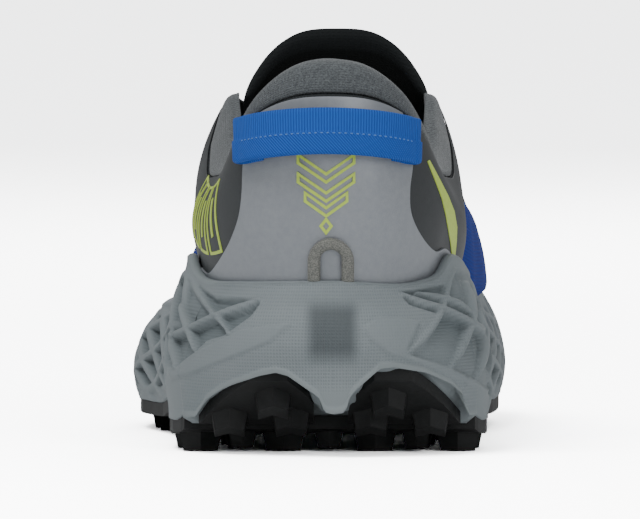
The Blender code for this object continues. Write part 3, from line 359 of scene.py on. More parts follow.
# Where the foam ends over the rear rubbers, as seen from behind: two arches and the nose between.
HEEL_ARCHES = (
    # across from the heel's middle in mm, height in mm
    (-49.0, 10.6),
    (-43.0, 10.6),
    (-40.2, 11.0),
    (-38.9, 13.2),
    (-36.8, 16.6),
    (-33.0, 19.4),
    (-29.2, 21.4),
    (-21.0, 24.4),
    (-16.4, 25.4),
    (-12.7, 24.4),
    (-5.1, 19.1),
    (-3.1, 17.4),
    (-2.5, 15.0),
    (-1.5, 13.5),
    (1.1, 13.1),
    (3.7, 13.5),
    (4.7, 15.0),
    (5.2, 17.4),
    (7.0, 19.9),
    (14.5, 26.6),
    (18.5, 27.0),
    (28.0, 25.1),
    (35.6, 21.2),
    (38.9, 17.6),
    (39.6, 14.2),
    (41.0, 11.4),
    (49.0, 11.0),
)
PODS_END = 0.106
RIB_START, RIB_PITCH, RIB_LEAN = -0.02, 0.062, 0.25
CROSS_PITCH, CROSS_LEAN = 0.155, 0.42
RIB_WIDTH = 2.9 * MM
POCKET_DEPTH = 3.0 * MM
HEEL_RIB = 2.5
SEEN_FROM, SIGHT_SLOPE = 110, 0.04
HEEL_RIBS = (
    # across and up in mm, seen from behind: four ribs and one or two that cross them on each side
    ((-43.4, 54.6), (-41.2, 50.0), (-38.3, 45.4), (-34.9, 41.1), (-32.4, 38.4), (-30.6, 35.7)),
    ((-45.8, 45.4), (-44.4, 40.2), (-42.8, 35.7), (-40.9, 30.6)),
    ((-49.9, 41.0), (-49.2, 34.6), (-47.7, 29.7), (-46.4, 25.5)),
    ((-53.0, 36.0), (-51.9, 31.2), (-50.0, 26.0)),
    ((-53.4, 33.8), (-48.5, 34.8), (-43.6, 36.8), (-34.9, 40.8), (-28.5, 43.2), (-21.0, 45.6)),
    ((37.1, 54.6), (35.2, 50.0), (34.2, 45.4), (32.6, 41.0), (28.8, 35.3), (23.1, 30.0)),
    ((40.5, 50.8), (42.5, 45.5), (43.0, 41.0), (40.9, 34.2), (37.8, 28.2), (36.0, 25.6)),
    ((44.6, 41.8), (46.5, 37.2), (47.0, 31.9), (45.4, 25.9), (43.5, 22.1)),
    ((49.9, 33.4), (51.4, 28.2), (49.9, 22.1), (47.6, 18.4)),
    ((20.9, 47.4), (26.9, 45.1), (33.3, 43.2), (39.3, 40.6), (44.6, 37.6), (50.6, 32.7)),
    ((25.8, 47.6), (32.6, 46.4), (39.3, 44.0), (42.7, 41.0)),
)
HEEL_CROSSING = {-1: HEEL_RIBS[4], 1: HEEL_RIBS[9]}
HEEL_HOLLOWS = (
    # outlines of the fields of hollows, across and up in mm
    ((-21.0, 45.3), (-27.4, 46.0), (-34.4, 46.0), (-38.3, 48.4), (-44.5, 55.0), (-58.0, 46.0), (-58.0, 26.0),
     (-50.0, 25.9), (-46.6, 24.8), (-41.2, 29.7), (-37.0, 33.6), (-32.2, 35.0), (-24.0, 41.0)),
    ((20.5, 47.8), (25.7, 48.4), (34.2, 50.0), (37.1, 54.6), (42.0, 53.5), (46.0, 44.0), (56.0, 32.0),
     (56.0, 18.0), (47.0, 18.6), (43.5, 21.4), (36.3, 25.2), (26.6, 28.2), (24.3, 29.0),
     (28.8, 34.5), (32.9, 41.3), (23.5, 44.3)),
)
HEEL_FACETS = (
    # two low raised bands that sweep from the ribs towards the middle and end in a corner
    ((-41.2, 29.7), (-27.0, 36.8), (-12.7, 39.1), (-11.3, 38.3), (-17.9, 32.7), (-29.2, 28.2), (-42.0, 22.9),
     (-48.0, 21.4), (-49.6, 24.4)),
    ((9.2, 37.6), (14.5, 41.0), (21.2, 40.6), (26.9, 39.1), (22.8, 30.0), (26.9, 28.5), (36.3, 25.1),
     (43.5, 21.7), (47.6, 17.6), (37.0, 21.4), (25.8, 26.6), (17.5, 28.9), (11.5, 33.4)),
)
AROUND = 840
turns = np.linspace(0, math.pi, AROUND // 2 + 1)
around_angles = np.concatenate([turns, 2 * math.pi - turns[-2:0:-1]])


def arch_height(x):
    return np.interp(x / MM, column(HEEL_ARCHES, 0), column(HEEL_ARCHES, 1)) * MM


def wall_foot(angles):
    """The lower edge of the foam's side, with the arches over the rear rubbers."""
    foot = sole_wall(angles, 0.0)
    share = foot[:, 1] / LENGTH + 0.5
    foot[:, 2] = np.where(share < STEP_BACK, arch_height(foot[:, 0]), foot[:, 2])
    return foot


def underside(x, y, edge_gap, foot_height):
    """Height of the foam over the rubber; edge_gap is how far the side is."""
    share = y / LENGTH + 0.5
    ceiling = rocker(y) + LUG_DEPTH + RUBBER + GAP
    nose = np.maximum(13.0 * MM, rocker(y) + LUG_DEPTH)
    half_nose = np.interp(np.clip((ceiling - 13 * MM) / (14 * MM), 0, 1), [0, 1], [3.2 * MM, 8.0 * MM])
    pods = ceiling + (nose - ceiling) * (1 - ease(half_nose, half_nose + 2.5 * MM, np.abs(x - 1.1 * MM)))
    lip = 1 - ease(2.5 * MM, 4.6 * MM, edge_gap)
    pods = pods + (foot_height - pods) * lip
    strip = rocker(y) + LUG_DEPTH + (RUBBER + GAP) * (1 - 0.7 * ease(21 * MM, 32 * MM, np.abs(x)))
    rear = np.where(share < PODS_END, pods, strip)
    return np.where(share < STEP_BACK, rear, ceiling)


def seen_height(points):
    """Height in mm as the camera sees it: what is further ahead seems to lie higher."""
    return points[..., 2] / MM + (points[..., 1] / MM + SEEN_FROM) * SIGHT_SLOPE


def outline_gap(x, z, corners, closed):
    """Distance in mm to a line of corners, less than 0 inside a closed one."""
    corners = np.array(corners, float)
    ends = np.roll(corners, -1, axis=0) if closed else corners[1:]
    gap, within = np.full(x.shape, 1e9), np.zeros(x.shape, bool)
    for (ax, az), (bx, bz) in zip(corners, ends):
        over, up = bx - ax, bz - az
        part = np.clip(((x - ax) * over + (z - az) * up) / (over**2 + up**2), 0, 1)
        gap = np.minimum(gap, np.hypot(x - ax - part * over, z - az - part * up))
        if closed and up != 0:
            within ^= ((az > z) != (bz > z)) & (x < over * (z - az) / up + ax)
    return np.where(within, -gap, gap)


def heel_ribs(x, z):
    """Where the hollows and the ribs of the heel are, each from 0 to 1."""
    rib, hollow = np.zeros_like(x), np.zeros_like(x)
    for line in HEEL_RIBS:
        corners = np.array(line)
        run = np.concatenate([[0], np.cumsum(np.hypot(*np.diff(corners, axis=0).T))])
        at = np.linspace(0, run[-1], 25)
        corners = np.stack([natural(at, run, corners[:, i]) for i in (0, 1)], -1)
        gap = outline_gap(x, z, corners, False)
        tips = np.minimum(np.hypot(x - corners[0, 0], z - corners[0, 1]),
                          np.hypot(x - corners[-1, 0], z - corners[-1, 1]))
        wide = HEEL_RIB / 2 * (0.45 + 0.55 * ease(0.0, 7.0, tips))
        rib = np.maximum(rib, np.sqrt(np.clip(1 - (gap / wide) ** 2, 0, 1)))
    for side in (-1, 1):
        field = 1 - ease(-0.5, 0.25, outline_gap(x, z, HEEL_HOLLOWS[(side + 1) // 2], True))
        crossing = np.array(HEEL_CROSSING[side])
        line = np.interp(x, *crossing[np.argsort(crossing[:, 0])].T)
        below = line - z
        slope = np.where(below > 0, np.clip(1.15 - below / 16.0, 0.35, 1),
                         np.clip(1.1 + below / 14.0, 0.45, 1))
        hollow = np.maximum(hollow, field * slope)
    return hollow, rib


def natural(at, knots, values):
    """As smooth, with slopes at the ends too."""
    longer = [np.concatenate([[2 * line[0] - line[1]], line, [2 * line[-1] - line[-2]]])
              for line in (knots, values)]
    return smooth(at, *longer)


def rib_field(angle, level, place):
    """How far the side sinks at each point, and how much of that is the floor of a hollow."""
    turn, side = fold(angle)
    share = place[..., 1] / LENGTH + 0.5
    tall = rim_height(angle) - sole_bottom(sole_wall(angle, 0.0)[..., 1])
    first = (share - RIB_LEAN * level - RIB_START) / RIB_PITCH
    second = (share + CROSS_LEAN * level - RIB_START) / CROSS_PITCH
    steep = RIB_LEAN * LENGTH / np.maximum(tall, 1 * MM)
    flat = CROSS_LEAN * LENGTH / np.maximum(tall, 1 * MM)
    gap_first = np.abs(first - np.round(first)) * RIB_PITCH * LENGTH / np.sqrt(1 + steep**2)
    gap_second = np.abs(second - np.round(second)) * CROSS_PITCH * LENGTH / np.sqrt(1 + flat**2)
    half = RIB_WIDTH / 2
    rib_first = 1 - ease(half * 0.70, half * 1.15, gap_first)
    rib_second = 1 - ease(half * 0.70, half * 1.15, gap_second)
    rib = np.maximum(rib_first, rib_second)
    under = np.maximum(np.mod(second, 1) ** 2, (1 - np.mod(first, 1)) ** 2)
    floor = POCKET_DEPTH * (0.42 + 0.58 * under)
    low = np.where(side < 0, 0.38, 0.15)
    start = np.where(side < 0, 0.030, 0.022)
    low = low * (1 - ease(0.16, 0.30, share)) + 0.14 * ease(0.16, 0.30, share)
    field = ease(low, low + 0.05, level) * (1 - ease(0.86, 0.90, level))
    field = field * ease(start, start + 0.012, share) * (1 - ease(0.90, 0.95, share))
    spur = ease(low - 0.22, low, level) * (1 - ease(0.90, 0.98, level))
    spur = spur * ease(start - 0.016, start + 0.01, share) * (1 - ease(0.93, 0.97, share))
    sink = floor * (1 - rib) * field
    round_top = np.sqrt(np.clip(1 - (np.minimum(gap_first, gap_second) / (half * 1.1)) ** 2, 0, 1))
    side_part = ease(0.155, 0.205, share)
    sink = (sink - 0.75 * MM * round_top * spur) * side_part
    x, z = place[..., 0] / MM, seen_height(place)
    hollow, drawn = heel_ribs(x, z)
    back_part = 1 - side_part
    sink = sink + (hollow * (1 - drawn) * 2.3 - drawn * 0.75) * MM * back_part
    return sink, field * (1 - rib) * side_part + hollow * (1 - drawn) * back_part


def on_centre_line(ring):
    """Moves a ring that runs right round the sole onto its middle."""
    line = ring.copy()
    line[:, 0] = (ring[:, 0] + np.roll(ring[::-1, 0], 1)) / 2
    return line


wall_levels = np.linspace(0, 1, 78)
foot = wall_foot(around_angles)
bottom_line = sole_wall(around_angles, 0.0)[:, 2]
rim_line = sole_wall(around_angles, 1.0)[:, 2]
heights = foot[:, 2] + (rim_line - foot[:, 2]) * wall_levels[:, None]
wall_at = np.clip((heights - bottom_line) / (rim_line - bottom_line), 0, 1)
outer = sole_wall(np.broadcast_to(around_angles, wall_at.shape), wall_at)
outer[..., 2] = heights
square = square_to(outer)
share_map = outer[..., 1] / LENGTH + 0.5
sink, hollow = rib_field(np.broadcast_to(around_angles, wall_at.shape), wall_at, outer)
behind = 1 - ease(0.02, 0.06, share_map)
x_mm, z_mm = outer[..., 0] / MM, outer[..., 2] / MM
panel = 1 - ease(4.8, 9.4, np.abs(x_mm - 0.4))
panel = panel * ease(25.5, 33.5, z_mm) * (1 - ease(43.0, 48.4, z_mm)) * behind
over_arch = z_mm - arch_height(outer[..., 0]) / MM
lip = (1 - ease(1.2, 2.2, over_arch)) * (1 - ease(0.10, 0.13, share_map))
nose_face = (1 - ease(6.0, 9.0, np.abs(x_mm - 1.1))) * (1 - ease(18.0, 24.0, z_mm)) * behind
facet = np.zeros_like(x_mm)
for corners in HEEL_FACETS:
    facet = np.maximum(facet, 1 - ease(-0.9, 0.1, outline_gap(x_mm, seen_height(outer), corners, True)))
facet = facet * ease(1.4, 3.0, over_arch) * (1 - ease(0.15, 0.20, share_map))
PANEL_SINK, LIP_RISE, NOSE_RISE, FACET_RISE = 0.30 * MM, 0.45 * MM, 0.20 * MM, 0.65 * MM
sink = sink + PANEL_SINK * panel - LIP_RISE * lip - NOSE_RISE * nose_face - FACET_RISE * facet
outer = outer - square * sink[..., None]
steps = np.linalg.norm(np.diff(outer[40], axis=0, append=outer[40][:1]), axis=-1)
run_mm = np.cumsum(steps) / MM
run_mm = np.minimum(run_mm, run_mm[-1] - run_mm)
# The rim is rounded over in four steps, then falls into the bowl that holds the insole.
extra = []
for inset, rise in ((0.7, 0.55), (1.5, 0.80), (2.4, 0.70), (2.9, 0.20)):
    ring = sole_wall(around_angles, 1.0, inset * MM)
    ring[:, 2] += rise * MM
    extra.append(ring)
bowl = bed_edge(around_angles, -1.4 * MM)
lip_foot = sole_wall(around_angles, 1.0, 3.1 * MM)
for part in (0.0, 0.35, 0.7, 1.0):
    extra.append(lip_foot + (bowl - lip_foot) * part)
middle_line = on_centre_line(bowl)
extra.append(bowl + (middle_line - bowl) * 0.5)
extra.append(middle_line)
UNDER_PARTS = 30
half_count = AROUND // 2
lateral_edge = outer[0, : half_count + 1]
medial_edge = np.concatenate([outer[0, :1], outer[0, half_count:][::-1]])
parts = np.linspace(0, 1, UNDER_PARTS + 1)[1:-1]
under = lateral_edge[:, None] + (medial_edge - lateral_edge)[:, None] * parts[None, :, None]
width = np.linalg.norm(medial_edge - lateral_edge, axis=-1)[:, None]
edge_gap = np.minimum(parts, 1 - parts)[None] * width
heel_line = outer[0][np.abs(outer[0, :, 1] + LENGTH / 2) < 45 * MM]
heel_line = heel_line[np.argsort(heel_line[:, 0])]
back_gap = np.maximum(under[..., 1] - np.interp(under[..., 0], heel_line[:, 0], heel_line[:, 1]), 0)
edge_gap = edge_gap * back_gap / np.maximum(np.hypot(edge_gap, back_gap), 1e-9)
foot_mix = lateral_edge[:, None, 2] * (parts < 0.5) + medial_edge[:, None, 2] * (parts >= 0.5)
foot_mix = np.where(under[..., 1] / LENGTH + 0.5 < STEP_BACK, arch_height(under[..., 0]), foot_mix)
under[..., 2] = underside(under[..., 0], under[..., 1], edge_gap, foot_mix)
points = np.concatenate([outer.reshape(-1, 3), np.concatenate(extra), under.reshape(-1, 3)])
rows = len(wall_levels) + len(extra)
faces = grid_faces(rows, AROUND, wrap=True).tolist()
base = rows * AROUND
for t in range(half_count):
    row_a = [t] + [base + t * len(parts) + k for k in range(len(parts))] + [(-t) % AROUND]
    row_b = [t + 1] + [base + (t + 1) * len(parts) + k for k in range(len(parts))] + [(-(t + 1)) % AROUND]
    for k in range(UNDER_PARTS):
        quad = [row_a[k], row_a[k + 1], row_b[k + 1], row_b[k]]
        kept = [q for i, q in enumerate(quad) if q != quad[i - 1]]
        if len(set(kept)) > 2:
            faces.append(kept)
rest = len(points) - outer.shape[0] * AROUND
skin_mm = np.stack([np.broadcast_to(run_mm, x_mm.shape), z_mm, hollow], -1).reshape(-1, 3)
rest_mm = np.stack([points[-rest:, 0] / MM, points[-rest:, 1] / MM, np.zeros(rest)], -1)
skin_mm = np.concatenate([skin_mm, rest_mm])
grid_zone = (1 - np.maximum(lip, nose_face)) * (1 - ease(0.10, 0.14, share_map)) * (1 - facet * 0.6)
grid_zone = np.concatenate([grid_zone.reshape(-1), np.zeros(rest)])
panel_zone = np.concatenate([panel.reshape(-1), np.zeros(rest)])
lip_highlight_zone = np.concatenate([np.maximum(lip, nose_face * 0.6).reshape(-1), np.zeros(rest)])

# Moulded foam is matte with a fine closed skin. Its grid of small squares and the lines in the hollows are
# about 1 mm apart; hollows are painted darker as shade, lips and the nose a little lighter as highlight.
foam, shader = finish_of("moulded_foam", "#7C878B", 0.62, Specular_IOR_Level=0.35)
place = node(foam, "ShaderNodeAttribute", {"attribute_name": "skin_mm"})
apart = node(foam, "ShaderNodeSeparateXYZ", Vector=place.outputs["Vector"])
zone = node(foam, "ShaderNodeAttribute", {"attribute_name": "grid_zone"})
panel_mask = node(foam, "ShaderNodeAttribute", {"attribute_name": "panel_zone"})
lip_highlight_mask = node(foam, "ShaderNodeAttribute", {"attribute_name": "lip_highlight_zone"})
FOAM_PITCH = 1.0


def stripes(material, across, pitch):
    """Rounded ridges across a measure in mm."""
    turned = node(material, "ShaderNodeMath", {"operation": "MULTIPLY", 1: 2 * math.pi / pitch}, i0=across)
    wave = node(material, "ShaderNodeMath", {"operation": "SINE"}, i0=turned.outputs[0])
    return node(material, "ShaderNodeMath", {"operation": "MULTIPLY_ADD", 1: 0.5, 2: 0.5},
                i0=wave.outputs[0]).outputs[0]


lines_up = stripes(foam, apart.outputs["Y"], FOAM_PITCH)
lines_run = stripes(foam, apart.outputs["X"], FOAM_PITCH)
squares = node(foam, "ShaderNodeMath", {"operation": "MULTIPLY"}, i0=lines_up, i1=lines_run)
hollow_lines = node(foam, "ShaderNodeMath", {"operation": "MULTIPLY"}, i0=lines_up, i1=apart.outputs["Z"])
grid_lines = node(foam, "ShaderNodeMath", {"operation": "MULTIPLY"}, i0=squares.outputs[0],
                  i1=zone.outputs["Fac"])
relief = node(foam, "ShaderNodeMath", {"operation": "MAXIMUM"}, i0=hollow_lines.outputs[0],
              i1=grid_lines.outputs[0])
spot = node(foam, "ShaderNodeTexCoord").outputs["Object"]
pores = node(foam, "ShaderNodeTexNoise", {"Scale": 1400.0, "Detail": 3.0}, Vector=spot)
relief = node(foam, "ShaderNodeMath", {"operation": "MULTIPLY_ADD", 1: 0.12}, i0=pores.outputs["Fac"],
              i2=relief.outputs[0])
cloud = node(foam, "ShaderNodeTexNoise", {"Scale": 60.0, "Detail": 4.0, "Roughness": 0.6}, Vector=spot)


def tint(material, amount, first, second):
    """Mixes two colours, each a hex value or a socket, by an amount."""
    mix = node(material, "ShaderNodeMix", {"data_type": "RGBA"})
    material.node_tree.links.new(amount, mix.inputs[0])
    for socket, value in ((mix.inputs[6], first), (mix.inputs[7], second)):
        if isinstance(value, str):
            socket.default_value = (*linear(value), 1)
        else:
            material.node_tree.links.new(value, socket)
    return mix.outputs[2]


def dress(material, shader, colour, height, strength, depth):
    """Gives a shader its colour, and a relief of a depth in metres."""
    bump = node(material, "ShaderNodeBump", {"Strength": strength, "Distance": depth}, Height=height)
    material.node_tree.links.new(bump.outputs["Normal"], shader.inputs["Normal"])
    material.node_tree.links.new(colour, shader.inputs["Base Color"])


colour = tint(foam, cloud.outputs["Fac"], "#7C8588", "#868D90")
# Painted shade: the floors of the hollows are darkened as if in shadow.
colour = tint(foam, apart.outputs["Z"], colour, "#687174")
dim = node(foam, "ShaderNodeMath", {"operation": "MULTIPLY", 1: 0.30}, i0=grid_lines.outputs[0])
colour = tint(foam, dim.outputs[0], colour, "#5E6A6F")
colour = tint(foam, panel_mask.outputs["Fac"], colour, "#565D60")
# Painted highlight: the lips over the rear rubbers and the nose are painted a little lighter.
colour = tint(foam, lip_highlight_mask.outputs["Fac"], colour, "#858D8F")
dress(foam, shader, colour, relief.outputs[0], 0.55, 0.00022)

midsole = add_piece("midsole_foam", points, faces, foam,
                    facts={"skin_mm": skin_mm, "grid_zone": grid_zone, "panel_zone": panel_zone,
                           "lip_highlight_zone": lip_highlight_zone})
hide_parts("midsole")

# Outsole: black carbon rubber, moulded with chevron lugs and glued under the foam. One piece runs
# from behind the arch to the toe, and two small ones sit on the bevel of the heel.


def modify(piece, name, kind, **settings):
    """Adds a modifier with its settings."""
    added = piece.modifiers.new(name, kind)
    for key, value in settings.items():
        setattr(added, key, value)


rubber, shader = finish_of("carbon_rubber", "#101212", 0.62, Specular_IOR_Level=0.35)
spot = node(rubber, "ShaderNodeTexCoord").outputs["Object"]
grain = node(rubber, "ShaderNodeTexNoise", {"Scale": 1100.0, "Detail": 4.0, "Roughness": 0.7}, Vector=spot)
scuff = node(rubber, "ShaderNodeTexNoise", {"Scale": 90.0, "Detail": 5.0, "Roughness": 0.65}, Vector=spot)
dress(rubber, shader, tint(rubber, scuff.outputs["Fac"], "#0A0B0B", "#1B1D1D"), grain.outputs["Fac"], 0.35,
      0.0001)
MOULD_RADIUS = 0.45 * MM
REAR_LEAN, LEAN_FROM, LEAN_RUN = 2.4 * MM, 11 * MM, 8 * MM
for part in ("outsole_main", "outsole_rear_lateral", "outsole_rear_medial"):
    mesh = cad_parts[part].data.copy()
    mesh.materials.clear()
    mesh.materials.append(rubber)
    if part != "outsole_main":
        # The rear rubbers lean in under the foam's lip.
        for vertex in mesh.vertices:
            vertex.co.y += REAR_LEAN * min(max((vertex.co.z - LEAN_FROM) / LEAN_RUN, 0.0), 1.0)
    moulded = put(bpy.data.objects.new(part + "_moulded", mesh))
    modify(moulded, "mould_radius", "BEVEL", width=MOULD_RADIUS, segments=2, limit_method="ANGLE",
           angle_limit=math.radians(28), harden_normals=False)
    modify(moulded, "even_shade", "WEIGHTED_NORMAL", keep_sharp=False)
    mesh.shade_smooth()
    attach(moulded, "root")
    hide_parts(part)

# Smaller chevron cleats fill the fields between the main lugs, so that the tread reads as one mass.


def closed_rings(rings, first=0):
    """Points and faces of a solid through closed sections, capped at both ends."""
    rings = np.asarray(rings)
    rows, count = rings.shape[:2]
    faces = (grid_faces(rows, count, wrap=True) + first).tolist()
    faces.append([first + k for k in reversed(range(count))])
    faces.append([first + (rows - 1) * count + k for k in range(count)])
    return rings.reshape(-1, 3), faces


def cleat(x, y, size, tall, facing):
    """Two sections of a chevron block under the rubber, its tip smaller than its root."""
    shape = np.array([(-0.5, -0.5), (0, -0.16), (0.5, -0.5), (0.5, 0.16), (0, 0.5), (-0.5, 0.16)]) * size
    height = rocker(y) + LUG_DEPTH
    return np.array([np.column_stack([shape * (1, facing) * scale + (x, y), np.full(6, height + rise)])
                     for scale, rise in ((1.0, CLEAT_ROOT), (CLEAT_TAPER, -tall))])


LUG_PITCH = 0.0605
FINE_FIRST, FINE_LAST = 0.138, 0.940
FINE_SIZE, FINE_TALL, CLEAT_ROOT, CLEAT_TAPER = 8.6 * MM, 4.3 * MM, 1.2 * MM, 0.78
FINE_ACROSS = (
    # up to this share of length, places across between the lugs
    (0.20, (-0.57, 0.0, 0.57)),
    (0.48, (-0.60, 0.60)),
    (0.92, (-0.56, -0.02, 0.52)),
    (1.00, (0.0,)),
)
points, faces = [], []
for at in np.arange(FINE_FIRST, FINE_LAST, LUG_PITCH / 2):
    lateral, medial = (sole_wall(angle_at(at, side), 0.0) for side in (-1, 1))
    for place in next(p for limit, p in FINE_ACROSS if at <= limit):
        x = (lateral[0] + medial[0]) / 2 + place * (medial[0] - lateral[0]) / 2
        block = cleat(x, (at - 0.5) * LENGTH, FINE_SIZE, FINE_TALL, 1 if at > 0.4 else -1)
        more, added = closed_rings(block, 12 * len(points))
        points.append(more)
        faces += added
tread = add_piece("fine_tread", np.concatenate(points), faces, rubber)
modify(tread, "mould_radius", "BEVEL", width=MOULD_RADIUS, segments=2)

# Insole: a loose sock liner of thin foam with a brushed dark textile on top, lying in the bowl.
UPPER_WALL = 2.0 * MM
INSOLE, INSOLE_GAP, INSOLE_CUP, INSOLE_BORDER = 4 * MM, 0.5 * MM, 1.5, 9 * MM
ring_angles = np.concatenate([turns[::5], 2 * math.pi - turns[::5][-2:0:-1]])
edge = bed_edge(ring_angles, UPPER_WALL + 2 * GAP)
edge[:, 2] += INSOLE_GAP
rim = edge.copy()
rim[:, 2] += INSOLE * INSOLE_CUP
face = bed_edge(ring_angles, INSOLE_BORDER)
face[:, 2] += INSOLE_GAP + INSOLE
inner_face = bed_edge(ring_angles, INSOLE_BORDER * 1.8)
inner_face[:, 2] += INSOLE_GAP + INSOLE
high = edge * 0.25 + rim * 0.75
shoulder = rim * 0.8 + face * 0.2
rings = [on_centre_line(edge), edge, high, rim, shoulder, face, inner_face, on_centre_line(inner_face)]
sock, shader = finish_of("brushed_sock_liner", "#2A2D2F", 0.92, Sheen_Weight=0.4, Sheen_Roughness=0.5)
spot = node(sock, "ShaderNodeTexCoord").outputs["Object"]
nap = node(sock, "ShaderNodeTexNoise", {"Scale": 1600.0, "Detail": 4.0, "Roughness": 0.7}, Vector=spot)
dress(sock, shader, tint(sock, nap.outputs["Fac"], "#1F2223", "#3A3E40"), nap.outputs["Fac"], 0.4, 0.0002)
liner = add_piece("sock_liner", np.concatenate(rings), grid_faces(len(rings), len(ring_angles), wrap=True),
                  sock)
modify(liner, "weld", "WELD", merge_threshold=2e-5)
modify(liner, "soft", "SUBSURF", levels=1, render_levels=1)
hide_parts("insole")

# Upper: one hollow sock of woven textile, lasted over the bowl of the midsole and open at the collar
# and the throat. It is charcoal behind and blue in front; the two colours are woven, not sewn.
COLLAR_HEIGHT = 117.4 * MM
INSTEP_HEIGHT = 105 * MM
COLLAR_PAD = 8.5 * MM
OVERLAY_GAP, OVERLAY, CAP_OVERLAY = 0.6 * MM, 0.8 * MM, 1.2 * MM
THROAT_END = 0.70
TOP_HEEL_ROUND, TOP_HEEL_SET, TOP_TOE_SET = 0.165, 13.5 * MM, 33 * MM
ARCH_POWER = 2.35
COLLAR_FRONT, COLLAR_THIN, COLLAR_TAPER, LINING_LOW = 0.385, 0.36, 0.06, 0.16
TOP_LINE = (
    # share, collar, instep, lateral, medial, centre
    (0.00, 1.000, 0.000, 0.63, 0.63, 0.00),
    (0.01, 0.985, 0.000, 0.63, 0.63, 0.00),
    (0.04, 0.925, 0.000, 0.63, 0.63, 0.00),
    (0.075, 0.850, 0.000, 0.63, 0.63, 0.00),
    (0.11, 0.780, 0.000, 0.63, 0.63, 0.00),
    (0.16, 0.740, 0.000, 0.620, 0.630, 0.00),
    (0.21, 0.728, 0.000, 0.630, 0.645, 0.00),
    (0.27, 0.600, 0.180, 0.625, 0.650, 0.00),
    (0.33, 0.250, 0.655, 0.625, 0.650, 0.00),
    (0.38, 0.000, 0.998, 0.615, 0.630, 0.00),
    (0.42, 0.000, 0.968, 0.53, 0.55, 0.01),
    (0.50, 0.000, 0.905, 0.405, 0.425, 0.01),
    (0.60, 0.000, 0.838, 0.29, 0.31, 0.01),
    (0.66, 0.000, 0.801, 0.20, 0.22, 0.02),
    (0.70, 0.000, 0.776, 0.00, 0.00, 0.03),
    (0.80, 0.000, 0.721, 0.00, 0.00, 0.07),
    (0.90, 0.000, 0.677, 0.00, 0.00, 0.12),
    (0.96, 0.000, 0.652, 0.00, 0.00, 0.15),
    (1.00, 0.000, 0.632, 0.00, 0.00, 0.16),
)
UPPER_SECTION = (
    # share, bulge in shares of UPPER_WALL, roundness from a wall to an arch, collar band
    (0.00, 2.0, 0.00, 1.10),
    (0.03, 2.0, 0.00, 0.92),
    (0.08, 1.8, 0.00, 0.55),
    (0.14, 1.8, 0.00, 0.45),
    (0.22, 2.2, 0.00, 0.50),
    (0.30, 2.4, 0.10, 1.30),
    (0.36, 2.2, 0.28, 1.50),
    (0.42, 1.6, 0.45, 1.10),
    (0.52, 1.0, 0.62, 0.0),
    (0.62, 0.4, 0.80, 0.0),
    (0.70, 0.0, 1.00, 0.0),
    (1.00, 0.0, 1.00, 0.0),
)


def top_line(angle):
    turn, side = fold(angle)
    share = share_of(turn)
    heel_end = -LENGTH / 2 + TOP_HEEL_SET
    toe_end = LENGTH / 2 - TOP_TOE_SET
    half = np.where(side < 0, along(TOP_LINE, 3, turn), along(TOP_LINE, 4, turn))
    half = np.where(share < THROAT_END, np.clip(half, 0, None), 0.0)
    centre = along(TOP_LINE, 5, turn) * HEEL_WIDTH / 2
    x = centre + side * half * HEEL_WIDTH / 2 * end_round(share, TOP_HEEL_ROUND, 0.0, ROUND_POWER)
    height = along(TOP_LINE, 1, turn) * COLLAR_HEIGHT + along(TOP_LINE, 2, turn) * INSTEP_HEIGHT
    return np.stack([x, heel_end + (toe_end - heel_end) * share, height], -1)


def upper_skin(angle, level, depth=0.0):
    """Outer face of the upper: level -1 at the bed, 0 at the midsole's rim, 1 at the top line."""
    angle, level = np.broadcast_arrays(np.asarray(angle, float), np.asarray(level, float))
    if np.any(depth):
        step = 1e-3
        around = upper_skin(angle + step, level) - upper_skin(angle - step, level)
        above, under = (upper_skin(angle, np.clip(level + way, -1, 1)) for way in (step, -step))
        out = np.cross(above - under, around)
        out = out / np.maximum(np.linalg.norm(out, axis=-1, keepdims=True), 1e-12)
        return upper_skin(angle, level) - out * np.asarray(depth)[..., None]
    turn, side = fold(angle)
    rim = sole_wall(angle, 1.0, RIM_LIP)
    bed = bed_edge(angle)
    top = top_line(angle)
    part = np.clip(level, 0, 1)
    arch = np.clip(along(UPPER_SECTION, 2, turn), 0, 1)
    swing = part * math.pi / 2
    arch_in = 1 - np.cos(swing) ** (2 / ARCH_POWER)
    arch_up = np.sin(swing) ** (2 / ARCH_POWER)
    inward = (part**1.35) * (1 - arch) + arch_in * arch
    upward = part * (1 - arch) + arch_up * arch
    point = rim + (top - rim) * np.stack([inward, inward, upward], -1)
    bulge = along(UPPER_SECTION, 1, turn) * UPPER_WALL * np.sin(part * math.pi) ** 1.2
    share = share_of(turn)
    back = np.clip(1 - share / 0.2, 0, 1)
    outward = np.stack([side * np.sqrt(np.clip(1 - back**2, 0, 1)), -back, np.zeros_like(share)], -1)
    point = point + outward * bulge[..., None]
    below = np.clip(-level, 0, 1)[..., None]
    return point + (bed - rim) * below


def seam_level(angle):
    """Where the upper's wall stops: under the collar's fabric, and at the throat's edge."""
    turn, _ = fold(angle)
    share = share_of(turn)
    band = np.clip(along(UPPER_SECTION, 3, turn), 0, None) * COLLAR_PAD
    band = band * np.clip((COLLAR_FRONT + COLLAR_TAPER / 4 - share) / COLLAR_TAPER, 0, 1)
    rim = sole_wall(angle, 1.0)[..., 2]
    return 1 - band / (top_line(angle)[..., 2] - rim)


def level_under(angle, drop):
    rim = sole_wall(angle, 1.0)[..., 2]
    return 1 - drop / (top_line(angle)[..., 2] - rim)


def bisect(low, high, stays_low):
    for _ in range(24):
        middle = (low + high) / 2
        below = stays_low(middle)
        low, high = np.where(below, middle, low), np.where(below, high, middle)
    return (low + high) / 2


def level_at_x(angle, x):
    angle = np.asarray(angle, float)
    zero = np.zeros_like(angle)
    return bisect(zero, zero + 1, lambda level: np.abs(upper_skin(angle, level)[..., 0]) > x)


def level_at_z(angle, z):
    angle = np.asarray(angle, float)
    zero = np.zeros_like(angle)
    return bisect(zero, zero + 1, lambda level: upper_skin(angle, level)[..., 2] < z)


